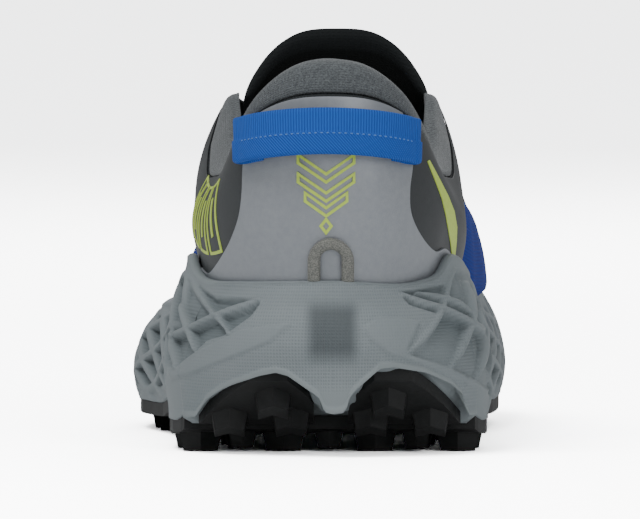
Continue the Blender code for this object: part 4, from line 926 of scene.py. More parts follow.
def level_beside(angle, width):
    angle = np.asarray(angle, float)
    zero = np.zeros_like(angle)
    top = upper_skin(angle, 1.0)
    return bisect(zero, zero + 1,
                  lambda level: np.linalg.norm(upper_skin(angle, level) - top, axis=-1) > width)


def angle_at_x(level, x):
    level, x = np.broadcast_arrays(np.asarray(level, float), np.asarray(x, float))
    side = np.where(x < 0, 1.0, -1.0)
    zero = np.zeros_like(x)
    turn = bisect(zero, zero + turn_of(0.30),
                  lambda turn: np.abs(upper_skin(turn * side, level)[..., 0]) < np.abs(x))
    return turn * side


def on_heel(x, z, stand):
    """The point that stands off the back of the upper at this x and z."""
    angle = angle_at_x(0.6, x)
    for _ in range(5):
        level = level_at_z(angle, z)
        angle = angle_at_x(level, x)
    return upper_skin(angle, level, -np.broadcast_to(stand, np.shape(level)))


def lengths(rows, wrap=False):
    """Measures in mm along and up a grid of points."""
    across = np.linalg.norm(np.diff(rows, axis=1, prepend=rows[:, :1]), axis=-1)
    upwards = np.linalg.norm(np.diff(rows, axis=0, prepend=rows[:1]), axis=-1)
    run = np.cumsum(across[len(rows) // 2]) / MM
    run = np.minimum(run, run[-1] - run) if wrap else run
    return np.broadcast_to(run, across.shape), np.cumsum(upwards, axis=0) / MM


UPPER_AROUND = 560
half_turns = np.linspace(0, math.pi, UPPER_AROUND // 2 + 1)
upper_angles = np.concatenate([half_turns, 2 * math.pi - half_turns[-2:0:-1]])
upper_levels = np.concatenate([[-0.93, -0.5, -0.15], np.linspace(0, 1, 52)])
last_level = seam_level(upper_angles)
level_grid = np.where(upper_levels[:, None] > 0, upper_levels[:, None] * last_level, upper_levels[:, None])
cloth_rows = upper_skin(np.broadcast_to(upper_angles, level_grid.shape), level_grid)
out_of = square_to(cloth_rows)
turn_map, side_map = fold(np.broadcast_to(upper_angles, level_grid.shape))
share_map = share_of(turn_map)
level_map = np.clip(level_grid, 0, 1)


def proud_of(side, share, level):
    """How far the cloth stands out at the ball: proud of the rim on the medial side, leaning in on the
    lateral side."""
    medial = 6.8 * MM * ease(0.36, 0.52, share) * (1 - ease(0.70, 0.92, share))
    medial = medial * ease(-0.02, 0.05, level) * (1 - ease(0.28, 0.80, level))
    lateral = -5.0 * MM * ease(0.36, 0.50, share) * (1 - ease(0.78, 0.95, share))
    return np.where(side > 0, medial, lateral * np.sin(np.clip(level / 0.9, 0, 1) * math.pi) ** 0.7)


proud = proud_of(side_map, share_map, level_map)
# Flex creases over the toes, soft hollows under the ankle and a few slack waves in the cloth.
creases = np.zeros_like(share_map)
CREASES = (
    # share at the side, lean of its line over the toes, depth in mm, width in shares of the length
    (0.655, 0.020, 0.50, 0.0075),
    (0.690, 0.026, 0.75, 0.0090),
    (0.730, 0.022, 0.55, 0.0080),
    (0.775, 0.014, 0.30, 0.0070),
)
over_toes = ease(0.25, 0.7, level_map)
for at, lean, deep, wide in CREASES:
    line = at + lean * level_map + 0.004 * np.sin(level_map * 9 + at * 40)
    creases -= deep * np.exp(-(((share_map - line) / wide) ** 2)) * over_toes
    creases += 0.5 * deep * np.exp(-(((share_map - line - 1.7 * wide) / wide) ** 2)) * over_toes
run, rise = lengths(cloth_rows, wrap=True)
slack = 0.22 * np.sin(run / 11.0 + 1.3 * np.sin(rise / 17.0)) * np.sin(level_map * math.pi)
slack += 0.15 * np.sin(run / 5.3 + rise / 9.0) * np.sin(level_map * math.pi) * ease(0.3, 0.5, share_map)
slack *= ease(0.30, 0.44, share_map)
ankle = -0.9 * np.exp(-(((share_map - 0.22) / 0.05) ** 2) - (((level_map - 0.62) / 0.16) ** 2))
cloth_rows = cloth_rows + out_of * (proud + (creases + slack + ankle) * MM)[..., None]
blue_line = np.where(side_map > 0, 0.34, 0.52) + 0.10 * level_map**1.5 + 0.20 * ease(0.26, 0.50, level_map)
blue_zone = ease(-0.004, 0.004, share_map - blue_line)
# Over the toes both sides of the sock are one cloth.
ridge = cloth_rows[-1]
ridge = np.where((share_map[-1] > THROAT_END)[:, None], (ridge + np.roll(ridge[::-1], 1, axis=0)) / 2, ridge)
cloth_rows = np.concatenate([cloth_rows[:-1], ridge[None]])
run, rise = lengths(cloth_rows, wrap=True)
cloth_mm = np.stack([run, rise, blue_zone], -1).reshape(-1, 3)
blue_edge = np.exp(-(((share_map - blue_line - 0.003) / 0.0035) ** 2)) * (side_map > 0)

# Woven polyester in plain weave, about two threads to the millimetre, drawn at 1.1 mm so that it
# shows: matte, its weave a fine even grain.
textile, shader = finish_of("woven_polyester", "#3D4042", 0.88, Specular_IOR_Level=0.25)
place = node(textile, "ShaderNodeAttribute", {"attribute_name": "cloth_mm"})
apart = node(textile, "ShaderNodeSeparateXYZ", Vector=place.outputs["Vector"])
WEAVE_PITCH = 1.1
warp = stripes(textile, apart.outputs["X"], WEAVE_PITCH)
weft = stripes(textile, apart.outputs["Y"], WEAVE_PITCH)
weave = node(textile, "ShaderNodeMath", {"operation": "MULTIPLY"}, i0=warp, i1=weft)
spot = node(textile, "ShaderNodeTexCoord").outputs["Object"]
fuzz = node(textile, "ShaderNodeTexNoise", {"Scale": 1500.0, "Detail": 3.0}, Vector=spot)
cloud = node(textile, "ShaderNodeTexNoise", {"Scale": 70.0, "Detail": 3.0}, Vector=spot)
relief = node(textile, "ShaderNodeMath", {"operation": "MULTIPLY_ADD", 1: 0.35}, i0=fuzz.outputs["Fac"],
              i2=weave.outputs[0])
dark = tint(textile, weave.outputs[0], "#2B2E30", "#3C4042")
bright = tint(textile, weave.outputs[0], "#0C2A86", "#173FA6")
colour = tint(textile, apart.outputs["Z"], dark, bright)
edge = node(textile, "ShaderNodeAttribute", {"attribute_name": "blue_edge"})
colour = tint(textile, edge.outputs["Fac"], colour, "#6D8FD6")
dim = node(textile, "ShaderNodeMath", {"operation": "MULTIPLY", 1: 0.25}, i0=cloud.outputs["Fac"])
dress(textile, shader, tint(textile, dim.outputs[0], colour, "#1A1D22"), relief.outputs[0], 0.5, 0.00025)

# The lining is a smooth dark knit that is seen only through the collar and the throat.
lining, shader = finish_of("lining_knit", "#2B2E2F", 0.9, Sheen_Weight=0.3)
spot = node(lining, "ShaderNodeTexCoord").outputs["Object"]
fuzz = node(lining, "ShaderNodeTexNoise", {"Scale": 1300.0, "Detail": 3.0}, Vector=spot)
dress(lining, shader, tint(lining, fuzz.outputs["Fac"], "#232627", "#363A3B"), fuzz.outputs["Fac"], 0.4,
      0.0002)
upper_faces = grid_faces(len(upper_levels), UPPER_AROUND, wrap=True)[:, ::-1]
sock_upper = add_piece("woven_upper", cloth_rows, upper_faces, [textile, lining],
                       facts={"cloth_mm": cloth_mm, "blue_edge": blue_edge.reshape(-1)}, outward=False)
modify(sock_upper, "weld", "WELD", merge_threshold=2e-5)
modify(sock_upper, "wall", "SOLIDIFY", thickness=UPPER_WALL * 0.8, offset=-1, material_offset=1)
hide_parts("upper")


# Thin films welded to the upper: charcoal on both rear quarters, with lime marks printed on them.
def film(name, rows, thickness, finish, facts=None, edge=0.2 * MM):
    """A sheet laid on the upper, rows upwards and columns from heel to toe, with rounded edges."""
    made = add_piece(name, rows, grid_faces(rows.shape[0], rows.shape[1])[:, ::-1], finish, facts=facts,
                     outward=False)
    modify(made, "thickness", "SOLIDIFY", thickness=thickness, offset=1)
    if edge:
        modify(made, "edge", "BEVEL", width=edge, segments=2, limit_method="ANGLE",
               angle_limit=math.radians(50))
    return made


def ribbon(corners, width, lay, stand, thickness, closed=False, piece=0.8 * MM):
    """Rings of a flat band along corners in a plane that lay(flat, stand) puts on the shoe."""
    corners = np.asarray(corners, float)
    width = np.broadcast_to(np.asarray(width, float), len(corners))
    if closed:
        corners = np.concatenate([corners, corners[:1]])
        width = np.concatenate([width, width[:1]])
    run = np.diff(corners, axis=0)
    run = run / np.linalg.norm(run, axis=1, keepdims=True)
    before = np.concatenate([run[-1:] if closed else run[:1], run])
    after = np.concatenate([run, run[:1] if closed else run[-1:]])
    normal = lambda d: np.stack([-d[:, 1], d[:, 0]], -1)
    mitre = normal(before) + normal(after)
    mitre = mitre / np.maximum((mitre * normal(after)).sum(1, keepdims=True), 0.5)
    sides = []
    for sign in (0.5, -0.5):
        line = corners + mitre * width[:, None] * sign
        dense = []
        for k in range(len(line) - 1):
            count = max(1, int(np.linalg.norm(corners[k + 1] - corners[k]) / piece))
            dense.extend(line[k] + (line[k + 1] - line[k]) * i / count for i in range(count))
        dense.append(line[-1])
        sides.append(np.array(dense))
    left, right = sides
    return np.stack([lay(left, stand), lay(left, stand + thickness), lay(right, stand + thickness),
                     lay(right, stand)], 1)


def printed(name, bands, finish):
    """One piece from several ribbons."""
    points, faces = [], []
    for rings in bands:
        more, added = closed_rings(rings, sum(len(p) for p in points))
        points.append(more)
        faces += added
    return add_piece(name, np.concatenate(points), faces, finish, smooth_shade=False)


charcoal, shader = finish_of("welded_charcoal_film", "#3B3E40", 0.52, Specular_IOR_Level=0.45)
spot = node(charcoal, "ShaderNodeTexCoord").outputs["Object"]
cloud = node(charcoal, "ShaderNodeTexNoise", {"Scale": 45.0, "Detail": 3.0}, Vector=spot)
grain = node(charcoal, "ShaderNodeTexNoise", {"Scale": 1500.0, "Detail": 3.0, "Roughness": 0.7}, Vector=spot)
dress(charcoal, shader, tint(charcoal, cloud.outputs["Fac"], "#2A2D2F", "#383C3E"), grain.outputs["Fac"],
      0.25, 0.00012)
FILM_GAP, FILM = 0.18 * MM, 0.34 * MM
QUARTER_FRONT, QUARTER_LEAN = {-1: 0.40, 1: 0.290}, 0.09
for side, name in ((-1, "lateral"), (1, "medial")):
    reach = np.linspace(turn_of(0.012), turn_of(QUARTER_FRONT[side]), 90)
    up = np.linspace(0.0, 0.985, 46)
    lean = turn_of(QUARTER_FRONT[side] + QUARTER_LEAN) - turn_of(QUARTER_FRONT[side])
    share_along = (reach - reach[0]) / (reach[-1] - reach[0])
    angles = (reach[None] + lean * share_along**2 * up[:, None] ** 1.5) * -side
    order = slice(None) if side < 0 else slice(None, None, -1)
    angles = angles[:, order]
    levels = up[:, None] * seam_level(angles)
    lower = np.clip(levels, 0.004, 1)
    out = FILM_GAP + proud_of(side, share_of(np.abs(angles)), levels)
    quarter = film(f"quarter_film_{name}", upper_skin(angles, lower, -out), FILM, charcoal)

lime, shader = finish_of("lime_screen_print", "#C3DD5A", 0.5, Specular_IOR_Level=0.4)
spot = node(lime, "ShaderNodeTexCoord").outputs["Object"]
grain = node(lime, "ShaderNodeTexNoise", {"Scale": 900.0, "Detail": 3.0}, Vector=spot)
lime.node_tree.links.new(tint(lime, grain.outputs["Fac"], "#B6D04E", "#CDE566"), shader.inputs["Base Color"])
PRINT = 0.22 * MM
PRINT_STAND = FILM_GAP + FILM


def heel_lay(flat, stand):
    return on_heel(flat[:, 0], flat[:, 1], stand)


SIDE_TALL = 44 * MM


def lateral_lay(flat, stand):
    return upper_skin(angle_at(flat[:, 0] / LENGTH, -1), flat[:, 1] / SIDE_TALL, np.full(len(flat), -stand))


accent = np.array([(28.6, 87.5), (31.2, 81.8), (33.6, 76.2), (35.1, 71.4), (35.9, 66.8), (36.2, 62.5),
                   (36.2, 58.0)]) * MM
accent_width = np.array([0.7, 1.3, 2.0, 2.7, 2.7, 1.9, 1.0]) * MM
line = printed("lime_accent_line", [ribbon(accent, accent_width, heel_lay, PRINT_STAND, PRINT)], lime)
ZIGZAG_STEP, ZIGZAG_WIDE, ZIGZAG_LEAN = 12.5, 9.0, 7.0
bands = []
for k in range(4):
    start = 27.0 + ZIGZAG_STEP * k
    low, high = 9.5, 33.0
    shape = [(start, low), (start + ZIGZAG_WIDE, low), (start + ZIGZAG_WIDE + ZIGZAG_LEAN, high),
             (start + ZIGZAG_LEAN, high)]
    bands.append(ribbon(np.array(shape) * MM, 1.0 * MM, lateral_lay, PRINT_STAND, PRINT, closed=True))
    core = [(start + ZIGZAG_WIDE * 0.5 + ZIGZAG_LEAN * f, low + (high - low) * f) for f in (0.22, 0.50, 0.78)]
    bands.append(ribbon(np.array(core) * MM, 1.5 * MM, lateral_lay, PRINT_STAND, PRINT))
slants = printed("lime_slanted_outlines", bands, lime)

# Heel counter: a metallic grey film over a stiff cup, narrow under the collar and wide at the foam.
COUNTER_SET = 0.012
COUNTER_STAND, COUNTER_THICKNESS = 0.15 * MM + OVERLAY_GAP * 0.75, OVERLAY * 0.8
COUNTER_FACE = COUNTER_STAND + COUNTER_THICKNESS
COUNTER = (
    # share of its height, lateral and medial half width in shares of half HEEL_WIDTH
    (0.00, 0.775, 0.765),
    (0.05, 0.735, 0.715),
    (0.14, 0.685, 0.655),
    (0.28, 0.60, 0.545),
    (0.42, 0.545, 0.475),
    (0.56, 0.525, 0.465),
    (0.70, 0.52, 0.48),
    (0.85, 0.50, 0.48),
    (1.00, 0.42, 0.42),
)
rows = []
for level in np.linspace(0.004, 1.0, 70):
    lateral, medial = (smooth(level, column(COUNTER, 0), column(COUNTER, i)) for i in (1, 2))
    ends = angle_at_x(level * seam_level(0.0), np.array([medial, -lateral]) * HEEL_WIDTH / 2)
    angle = np.linspace(ends[0], ends[1], 110)
    shaped = upper_skin(angle, level * (seam_level(angle) - COUNTER_SET), np.full(len(angle), -COUNTER_STAND))
    across = np.linspace(-1, 1, len(angle))
    flute = 0.45 * np.exp(-(((np.abs(across) - 0.36) / 0.16) ** 2)) * math.sin(level * math.pi) ** 0.7
    shaped[:, 1] += flute * MM * (1 - level * 0.4)
    rows.append(shaped)
rows = np.array(rows)
run, rise = lengths(rows)
metal_film, shader = finish_of("metallic_grey_film", "#8A9096", 0.42, Metallic=0.45)
spot = node(metal_film, "ShaderNodeTexCoord").outputs["Object"]
flakes = node(metal_film, "ShaderNodeTexVoronoi", {"Scale": 2200.0}, Vector=spot)
blotch = node(metal_film, "ShaderNodeTexNoise", {"Scale": 420.0, "Detail": 4.0, "Roughness": 0.7},
              Vector=spot)
cloud = node(metal_film, "ShaderNodeTexNoise", {"Scale": 28.0, "Detail": 2.0}, Vector=spot)
colour = tint(metal_film, blotch.outputs["Fac"], "#888D93", "#A5A8AC")
dim = node(metal_film, "ShaderNodeMath", {"operation": "MULTIPLY", 1: 0.35}, i0=cloud.outputs["Fac"])
colour = tint(metal_film, dim.outputs[0], colour, "#767C84")
shine = node(metal_film, "ShaderNodeMapRange", {3: 0.36, 4: 0.56}, Value=blotch.outputs["Fac"])
metal_film.node_tree.links.new(shine.outputs[0], shader.inputs["Roughness"])
relief = node(metal_film, "ShaderNodeMath", {"operation": "MULTIPLY_ADD", 1: 0.5},
              i0=flakes.outputs["Distance"], i2=blotch.outputs["Fac"])
dress(metal_film, shader, colour, relief.outputs[0], 0.3, 0.00015)
counter = film("heel_counter_film", rows, COUNTER_THICKNESS, metal_film)
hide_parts("heel_counter")
# Three open chevrons over a small diamond, printed in lime in the middle of the heel.
CHEVRON_BAND, EMBLEM_ASIDE, EMBLEM_LINE = 2.4, (1.4 * MM, 0), 0.85 * MM
shapes = [[(-half, top), (0, top - drop), (half, top), (half, top - CHEVRON_BAND),
           (0, top - drop - CHEVRON_BAND), (-half, top - CHEVRON_BAND)]
          for top, half, drop in ((90.0, 8.0, 5.6), (84.4, 8.0, 5.6), (78.8, 6.0, 4.4))]
shapes.append([(0, 71.0), (1.5, 69.0), (0, 67.0), (-1.5, 69.0)])
bands = [ribbon(np.array(shape) * MM - EMBLEM_ASIDE, EMBLEM_LINE, heel_lay, COUNTER_FACE, PRINT, closed=True)
         for shape in shapes]
chevrons = printed("lime_chevrons", bands, lime)

# Toe cap: a tougher film bumper round the toe, guessed plain and dark.
CAP_START, CAP_FOOT, CAP_HEIGHT, CAP_FALL = 0.86, 0.03, 0.64, 0.46
bumper, shader = finish_of("toe_bumper_film", "#202324", 0.6, Specular_IOR_Level=0.4)
spot = node(bumper, "ShaderNodeTexCoord").outputs["Object"]
pebbles = node(bumper, "ShaderNodeTexVoronoi", {"Scale": 700.0}, Vector=spot)
cloud = node(bumper, "ShaderNodeTexNoise", {"Scale": 80.0, "Detail": 3.0}, Vector=spot)
dress(bumper, shader, tint(bumper, cloud.outputs["Fac"], "#1B1E1F", "#2B2F30"), pebbles.outputs["Distance"],
      0.4, 0.0002)
first = turn_of(CAP_START)
angles = np.linspace(first, 2 * math.pi - first, 130)
reach = np.abs(angles - math.pi) / (math.pi - first)
tall = CAP_HEIGHT - CAP_FALL * reach**2 - CAP_FOOT
levels = CAP_FOOT + tall * np.linspace(0, 1, 22)[:, None]
angle_map = np.broadcast_to(angles, levels.shape)
cap = film("toe_bumper", upper_skin(angle_map, levels, np.full(levels.shape, -OVERLAY_GAP * 0.5)),
           CAP_OVERLAY, bumper, edge=0.4 * MM)
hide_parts("toe_cap")

# Eyestay: a film band round the throat, punched for the lace and edged with a row of stitches.
EYELET_SHARES = (0.455, 0.500, 0.545, 0.590, 0.635)
EYELET_EDGE, EYELET_HOLE = 6.5 * MM, 4.4 * MM
EYESTAY_WIDTH, EYESTAY_SPAN, EYESTAY_TAPER = 13 * MM, (0.40, 0.78), 0.85


def eyelet_frame(share, side, set_in=None):
    """A point of the upper's face beside the throat, and the direction out of it."""
    angle = angle_at(share, side)
    level = level_beside(angle, EYELET_EDGE if set_in is None else set_in)
    here = upper_skin(angle, level)
    out = here - upper_skin(angle, level, 1 * MM)
    return here, out / np.linalg.norm(out)


def around_eyelet(share, side):
    here, out = eyelet_frame(share, side)
    ahead = np.cross(out, (1.0, 0.0, 0.0))
    ahead = ahead / np.linalg.norm(ahead)
    return here, out, ahead, np.cross(out, ahead)


stay_turns = np.linspace(turn_of(EYESTAY_SPAN[0]), turn_of(EYESTAY_SPAN[1]), 110)
stay_share = share_of(stay_turns)
STAY_STAND, STAY_THICKNESS = OVERLAY_GAP * 0.5, OVERLAY * 0.9
halves = []
for side in (1, -1):
    angles = stay_turns * side
    ahead = np.clip((stay_share - THROAT_END) / (EYESTAY_SPAN[1] - THROAT_END), 0, 1)
    low = level_beside(angles, EYESTAY_WIDTH * (1 - EYESTAY_TAPER * ahead))
    levels = low + (1 - low) * np.linspace(0, 1, 13)[:, None]
    halves.append(upper_skin(np.broadcast_to(angles, levels.shape), levels,
                             np.full(levels.shape, -STAY_STAND)))
medial_rows, lateral_rows = halves
closed = stay_share >= THROAT_END
ridge = (medial_rows[-1, closed] + lateral_rows[-1, closed]) / 2
medial_rows[-1, closed] = lateral_rows[-1, closed] = ridge
stay_points = np.concatenate([medial_rows.reshape(-1, 3), lateral_rows.reshape(-1, 3)])
count = len(stay_turns)
stay_faces = grid_faces(13, count).tolist()
stay_faces += [[i + 13 * count for i in face[::-1]] for face in grid_faces(13, count).tolist()]
stay = add_piece("eyestay_film", stay_points, stay_faces, bumper, outward=False)
modify(stay, "weld", "WELD", merge_threshold=2e-5)
modify(stay, "thickness", "SOLIDIFY", thickness=STAY_THICKNESS, offset=1)
PEG_SIDES = 20
points, faces = [], []
for side in (-1, 1):
    for share in EYELET_SHARES:
        here, out, ahead, across = around_eyelet(share, side)
        swing = np.linspace(0, 2 * math.pi, PEG_SIDES, endpoint=False)
        rim = (np.cos(swing)[:, None] * ahead + np.sin(swing)[:, None] * across) * EYELET_HOLE / 2
        more, added = closed_rings(np.stack([here + out * 4 * MM + rim, here - out * 4 * MM + rim]),
                                   len(points) * 2 * PEG_SIDES)
        points.append(more)
        faces += added
pegs = add_piece("eyelet_punch", np.concatenate(points), faces, bumper)
pegs.hide_render = True
pegs.hide_viewport = True
modify(stay, "punch", "BOOLEAN", operation="DIFFERENCE", solver="EXACT", object=pegs)
bpy.context.view_layer.update()
punched = bpy.data.meshes.new_from_object(stay.evaluated_get(bpy.context.evaluated_depsgraph_get()))
stay.modifiers.clear()
stay.data = punched
bpy.data.objects.remove(pegs)
modify(stay, "edge", "BEVEL", width=0.18 * MM, segments=2, limit_method="ANGLE", angle_limit=math.radians(50))
stay.data.shade_smooth()
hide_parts("eyestay")


# Collar: a padded cuff of heather grey knit over soft foam. It stands on the upper's edge, rolls
# over the top and lines the inside of the heel; its ends run out beside the tongue.
COLLAR_LINING, COLLAR_SWELL, COLLAR_SWELL_DROP = 30 * MM, 2.2 * MM, 13 * MM
COLLAR_PUFF, COLLAR_HEM = 0.6 * MM, 1.6 * MM


def closed_curve(ring, pieces):
    """Rounds a closed ring of points with pieces steps between each two."""
    before, after, far = np.roll(ring, 1, axis=0), np.roll(ring, -1, axis=0), np.roll(ring, -2, axis=0)
    made = []
    for t in np.linspace(0, 1, pieces, endpoint=False):
        made.append(0.5 * (2 * ring + (after - before) * t + (2 * before - 5 * ring + 4 * after - far) * t**2
                           + (3 * ring - before - 3 * after + far) * t**3))
    return np.stack(made, 1).reshape(-1, ring.shape[-1])


cuff_turns = np.linspace(-float(turn_of(COLLAR_FRONT)), float(turn_of(COLLAR_FRONT)), 201)
inside = UPPER_WALL + 1.5 * GAP
share = share_of(np.abs(cuff_turns))
pad = COLLAR_PAD * (1.0 - (1 - COLLAR_THIN) * np.clip(share / COLLAR_FRONT, 0, 1))
seam = seam_level(cuff_turns)
rise_up = GAP / COLLAR_LINING
low = np.maximum(level_under(cuff_turns, COLLAR_LINING), LINING_LOW)
swell = level_under(cuff_turns, COLLAR_SWELL_DROP)
top = upper_skin(cuff_turns, 1.0)
crown = upper_skin(cuff_turns, 1.0, pad * 0.48)
crown[:, 2] = top[:, 2] + pad * 0.12
inner_top = upper_skin(cuff_turns, 1.0, pad)
inner_top[:, 2] = top[:, 2] - pad * 0.12
full = np.ones_like(share)
profile = np.stack([
    upper_skin(cuff_turns, seam + rise_up),
    upper_skin(cuff_turns, (seam + 1) / 2, -COLLAR_PUFF * full),
    upper_skin(cuff_turns, 0.995, -COLLAR_PUFF / 6 * full),
    crown,
    inner_top,
    upper_skin(cuff_turns, swell, pad + COLLAR_SWELL),
    upper_skin(cuff_turns, (swell + low) / 2, pad * 0.75 + COLLAR_HEM),
    upper_skin(cuff_turns, low, (inside + COLLAR_HEM) * full),
    upper_skin(cuff_turns, low, inside * full),
    upper_skin(cuff_turns, (low + seam) / 2, inside * full),
    upper_skin(cuff_turns, seam + rise_up, inside * full),
], 1)
cuff = np.array([closed_curve(ring, 5) for ring in profile])
run = np.concatenate([[0], np.cumsum(np.linalg.norm(np.diff(profile[:, 3], axis=0), axis=1))]) / MM
around = np.concatenate([[0], np.cumsum(np.linalg.norm(np.diff(cuff[100], axis=0), axis=1))]) / MM
# The foam inside pulls the knit into shallow puckers, deepest on the inner side of the roll.
middle = cuff.mean(axis=1, keepdims=True)
puckers = 0.28 * np.sin(run / 4.3 + 0.9 * np.sin(run / 13)) + 0.15 * np.sin(run / 2.1 + 1.7)
inner_side = np.exp(-(((np.arange(cuff.shape[1]) - 22) / 7.0) ** 2))
cuff = cuff + (middle - cuff) / np.linalg.norm(middle - cuff, axis=-1, keepdims=True) * (
    puckers[:, None] * (0.15 + inner_side) * 0.7 * MM)[..., None]
cuff_points, cuff_faces = closed_rings(cuff)
cuff_mm = np.stack([np.broadcast_to(run[:, None], cuff.shape[:2]), np.broadcast_to(around, cuff.shape[:2]),
                    np.zeros(cuff.shape[:2])], -1).reshape(-1, 3)

# Heather knit: grey melange yarn, its flecks and ribs about 1 mm; soft and matte with a fine fuzz.
heather, shader = finish_of("heather_knit", "#4C5051", 0.93, Sheen_Weight=0.2, Sheen_Roughness=0.5)
place = node(heather, "ShaderNodeAttribute", {"attribute_name": "cuff_mm"})
apart = node(heather, "ShaderNodeSeparateXYZ", Vector=place.outputs["Vector"])
spot = node(heather, "ShaderNodeTexCoord").outputs["Object"]
fleck = node(heather, "ShaderNodeTexNoise", {"Scale": 1700.0, "Detail": 4.0, "Roughness": 0.75}, Vector=spot)
sharp = node(heather, "ShaderNodeMapRange", {1: 0.38, 2: 0.62}, Value=fleck.outputs["Fac"])
KNIT_PITCH = 0.95
ribs = stripes(heather, apart.outputs["X"], KNIT_PITCH)
rows_up = stripes(heather, apart.outputs["Y"], KNIT_PITCH * 0.8)
knit = node(heather, "ShaderNodeMath", {"operation": "MULTIPLY"}, i0=ribs, i1=rows_up)
colour = tint(heather, sharp.outputs[0], "#43474A", "#666B6D")
dim = node(heather, "ShaderNodeMath", {"operation": "MULTIPLY", 1: 0.35}, i0=knit.outputs[0])
relief = node(heather, "ShaderNodeMath", {"operation": "MULTIPLY_ADD", 1: 0.6}, i0=fleck.outputs["Fac"],
              i2=knit.outputs[0])
dress(heather, shader, tint(heather, dim.outputs[0], colour, "#565A5B"), relief.outputs[0], 0.55, 0.0003)
collar = add_piece("padded_collar", cuff_points, cuff_faces, heather, facts={"cuff_mm": cuff_mm})
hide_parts("collar")

# Tongue: thin foam between two layers of black knit, its edges turned in and painted lighter as highlight.
# It lies under both sides of the throat and stands over the collar at its free end.
TONGUE_PAD, CROWN_RADIUS = 4.0 * MM, 60 * MM
TONGUE_SPAN, TONGUE_TUCK = (0.69, 0.42), (5 * MM, 2 * MM)
TONGUE_RISE, TONGUE_ARCH, TONGUE_CLEAR = 15 * MM, 3.0, 0.9 * MM
TONGUE_TOP = (
    # back, rise, half width, fall at its edges, edges forward
    (0.45, 0.52, 0.590, 0.85, 0.20),
    (0.80, 1.06, 0.610, 1.20, 0.30),
    (1.05, 1.44, 0.600, 1.46, 0.35),
)


def throat(share):
    """Middle of the throat at a place along it and half its opening."""
    lateral, medial = top_line(angle_at(share, -1)), top_line(angle_at(share, 1))
    return (lateral + medial) / 2, (medial[..., 0] - lateral[..., 0]) / 2


def tongue_height(share, across=0.0):
    """Outer face of the tongue between the throat's edges."""
    middle, half = throat(share)
    rise = (half**2 - np.asarray(across) ** 2) / (2 * CROWN_RADIUS)
    return middle[..., 2] - (UPPER_WALL + TONGUE_CLEAR) + rise


parts = np.sin(np.linspace(-1, 1, 61) * math.pi / 2)
parts = 0.35 * parts + 0.65 * np.linspace(-1, 1, 61)
rows = []
for share in np.linspace(*TONGUE_SPAN, 56):
    middle, half = throat(share)
    tuck = np.interp(share, TONGUE_SPAN[::-1], TONGUE_TUCK[::-1])
    x = parts * (half + tuck)
    angle = angle_at(share, np.sign(parts))
    tucked = upper_skin(angle, level_at_x(angle, np.abs(x + middle[0])),
                        np.full(len(parts), UPPER_WALL + TONGUE_CLEAR))
    free = np.stack([x + middle[0], middle[1] + 0 * x, tongue_height(share, x)], -1)
    under_edge = ease(half - 0.8 * MM, half + 0.8 * MM, np.abs(x))[:, None]
    rows.append(free + (tucked - free) * under_edge)
crown = rows[-1][len(parts) // 2] + (0.8 * MM, 0, 0)
edge_row = rows[-1]
table = [np.stack([
    crown[0] + parts * half * HEEL_WIDTH / 2,
    crown[1] - back * TONGUE_RISE + wrap * TONGUE_RISE * parts**2,
    crown[2] + (rise - fall * np.abs(parts) ** TONGUE_ARCH) * TONGUE_RISE,
], -1) for back, rise, half, fall, wrap in TONGUE_TOP]
table = np.array([rows[-7], edge_row] + table)
knots = np.array([-0.6, 0.0, 0.62, 1.15, 1.5])
for at in np.linspace(0, 1.5, 22)[1:]:
    rows.append(np.array([[natural(at, knots, table[:, k, i]) for i in range(3)] for k in range(len(parts))]))
face_rows = np.array(rows)
square = np.cross(np.gradient(face_rows, axis=0), np.gradient(face_rows, axis=1))
square = square / np.maximum(np.linalg.norm(square, axis=-1, keepdims=True), 1e-12)
square *= np.sign(square[30, 30, 2])
beyond = np.linspace(0, 1, len(rows))
end_in = np.clip((beyond - 0.955) / 0.045, 0, 1)
thick = TONGUE_PAD * (1 - np.abs(parts) ** 9)[None] ** 0.5 * (1 - end_in[:, None] ** 2.2) ** 0.5
thick = np.maximum(thick, 0.12 * MM)
# Soft channels run along the padding.
channels = 0.16 * MM * np.cos(parts * 2 * math.pi * 3)[None] * (1 - end_in[:, None])
outer_face = face_rows - square * ((TONGUE_PAD - thick)[..., None] * 0.5 + np.maximum(channels, 0)[..., None])
inner_face = face_rows - square * ((TONGUE_PAD + thick)[..., None] * 0.5)
pair = np.concatenate([outer_face, inner_face[:, ::-1]], axis=1)
tongue_points, tongue_faces = closed_rings(pair)
run, rise = lengths(face_rows)
# A painted highlight: a lighter line along both sides of the tongue and along its free end.
edge_highlight = np.maximum(ease(0.90, 0.945, np.abs(parts))[None] + 0 * run,
                   ease(0.93, 0.955, beyond)[:, None] + 0 * run)
run = np.concatenate([run, run[:, ::-1]], 1)
rise = np.concatenate([rise, rise[:, ::-1]], 1)
edge_highlight = np.concatenate([edge_highlight, edge_highlight[:, ::-1]], 1)
tongue_mm = np.stack([run, rise, edge_highlight], -1).reshape(-1, 3)
black, shader = finish_of("black_tongue_knit", "#0E1010", 0.95, Specular_IOR_Level=0.2)
place = node(black, "ShaderNodeAttribute", {"attribute_name": "tongue_mm"})
apart = node(black, "ShaderNodeSeparateXYZ", Vector=place.outputs["Vector"])
spot = node(black, "ShaderNodeTexCoord").outputs["Object"]
fuzz = node(black, "ShaderNodeTexNoise", {"Scale": 1200.0, "Detail": 4.0, "Roughness": 0.7}, Vector=spot)
wales = stripes(black, apart.outputs["X"], 1.3)
courses = stripes(black, apart.outputs["Y"], 0.9)
knit = node(black, "ShaderNodeMath", {"operation": "MULTIPLY"}, i0=wales, i1=courses)
relief = node(black, "ShaderNodeMath", {"operation": "MULTIPLY_ADD", 1: 0.5}, i0=fuzz.outputs["Fac"],
              i2=knit.outputs[0])
colour = tint(black, fuzz.outputs["Fac"], "#090A0A", "#141716")
# The edges are painted lighter as highlight.
dress(black, shader, tint(black, apart.outputs["Z"], colour, "#1E2122"), relief.outputs[0], 0.5, 0.00025)
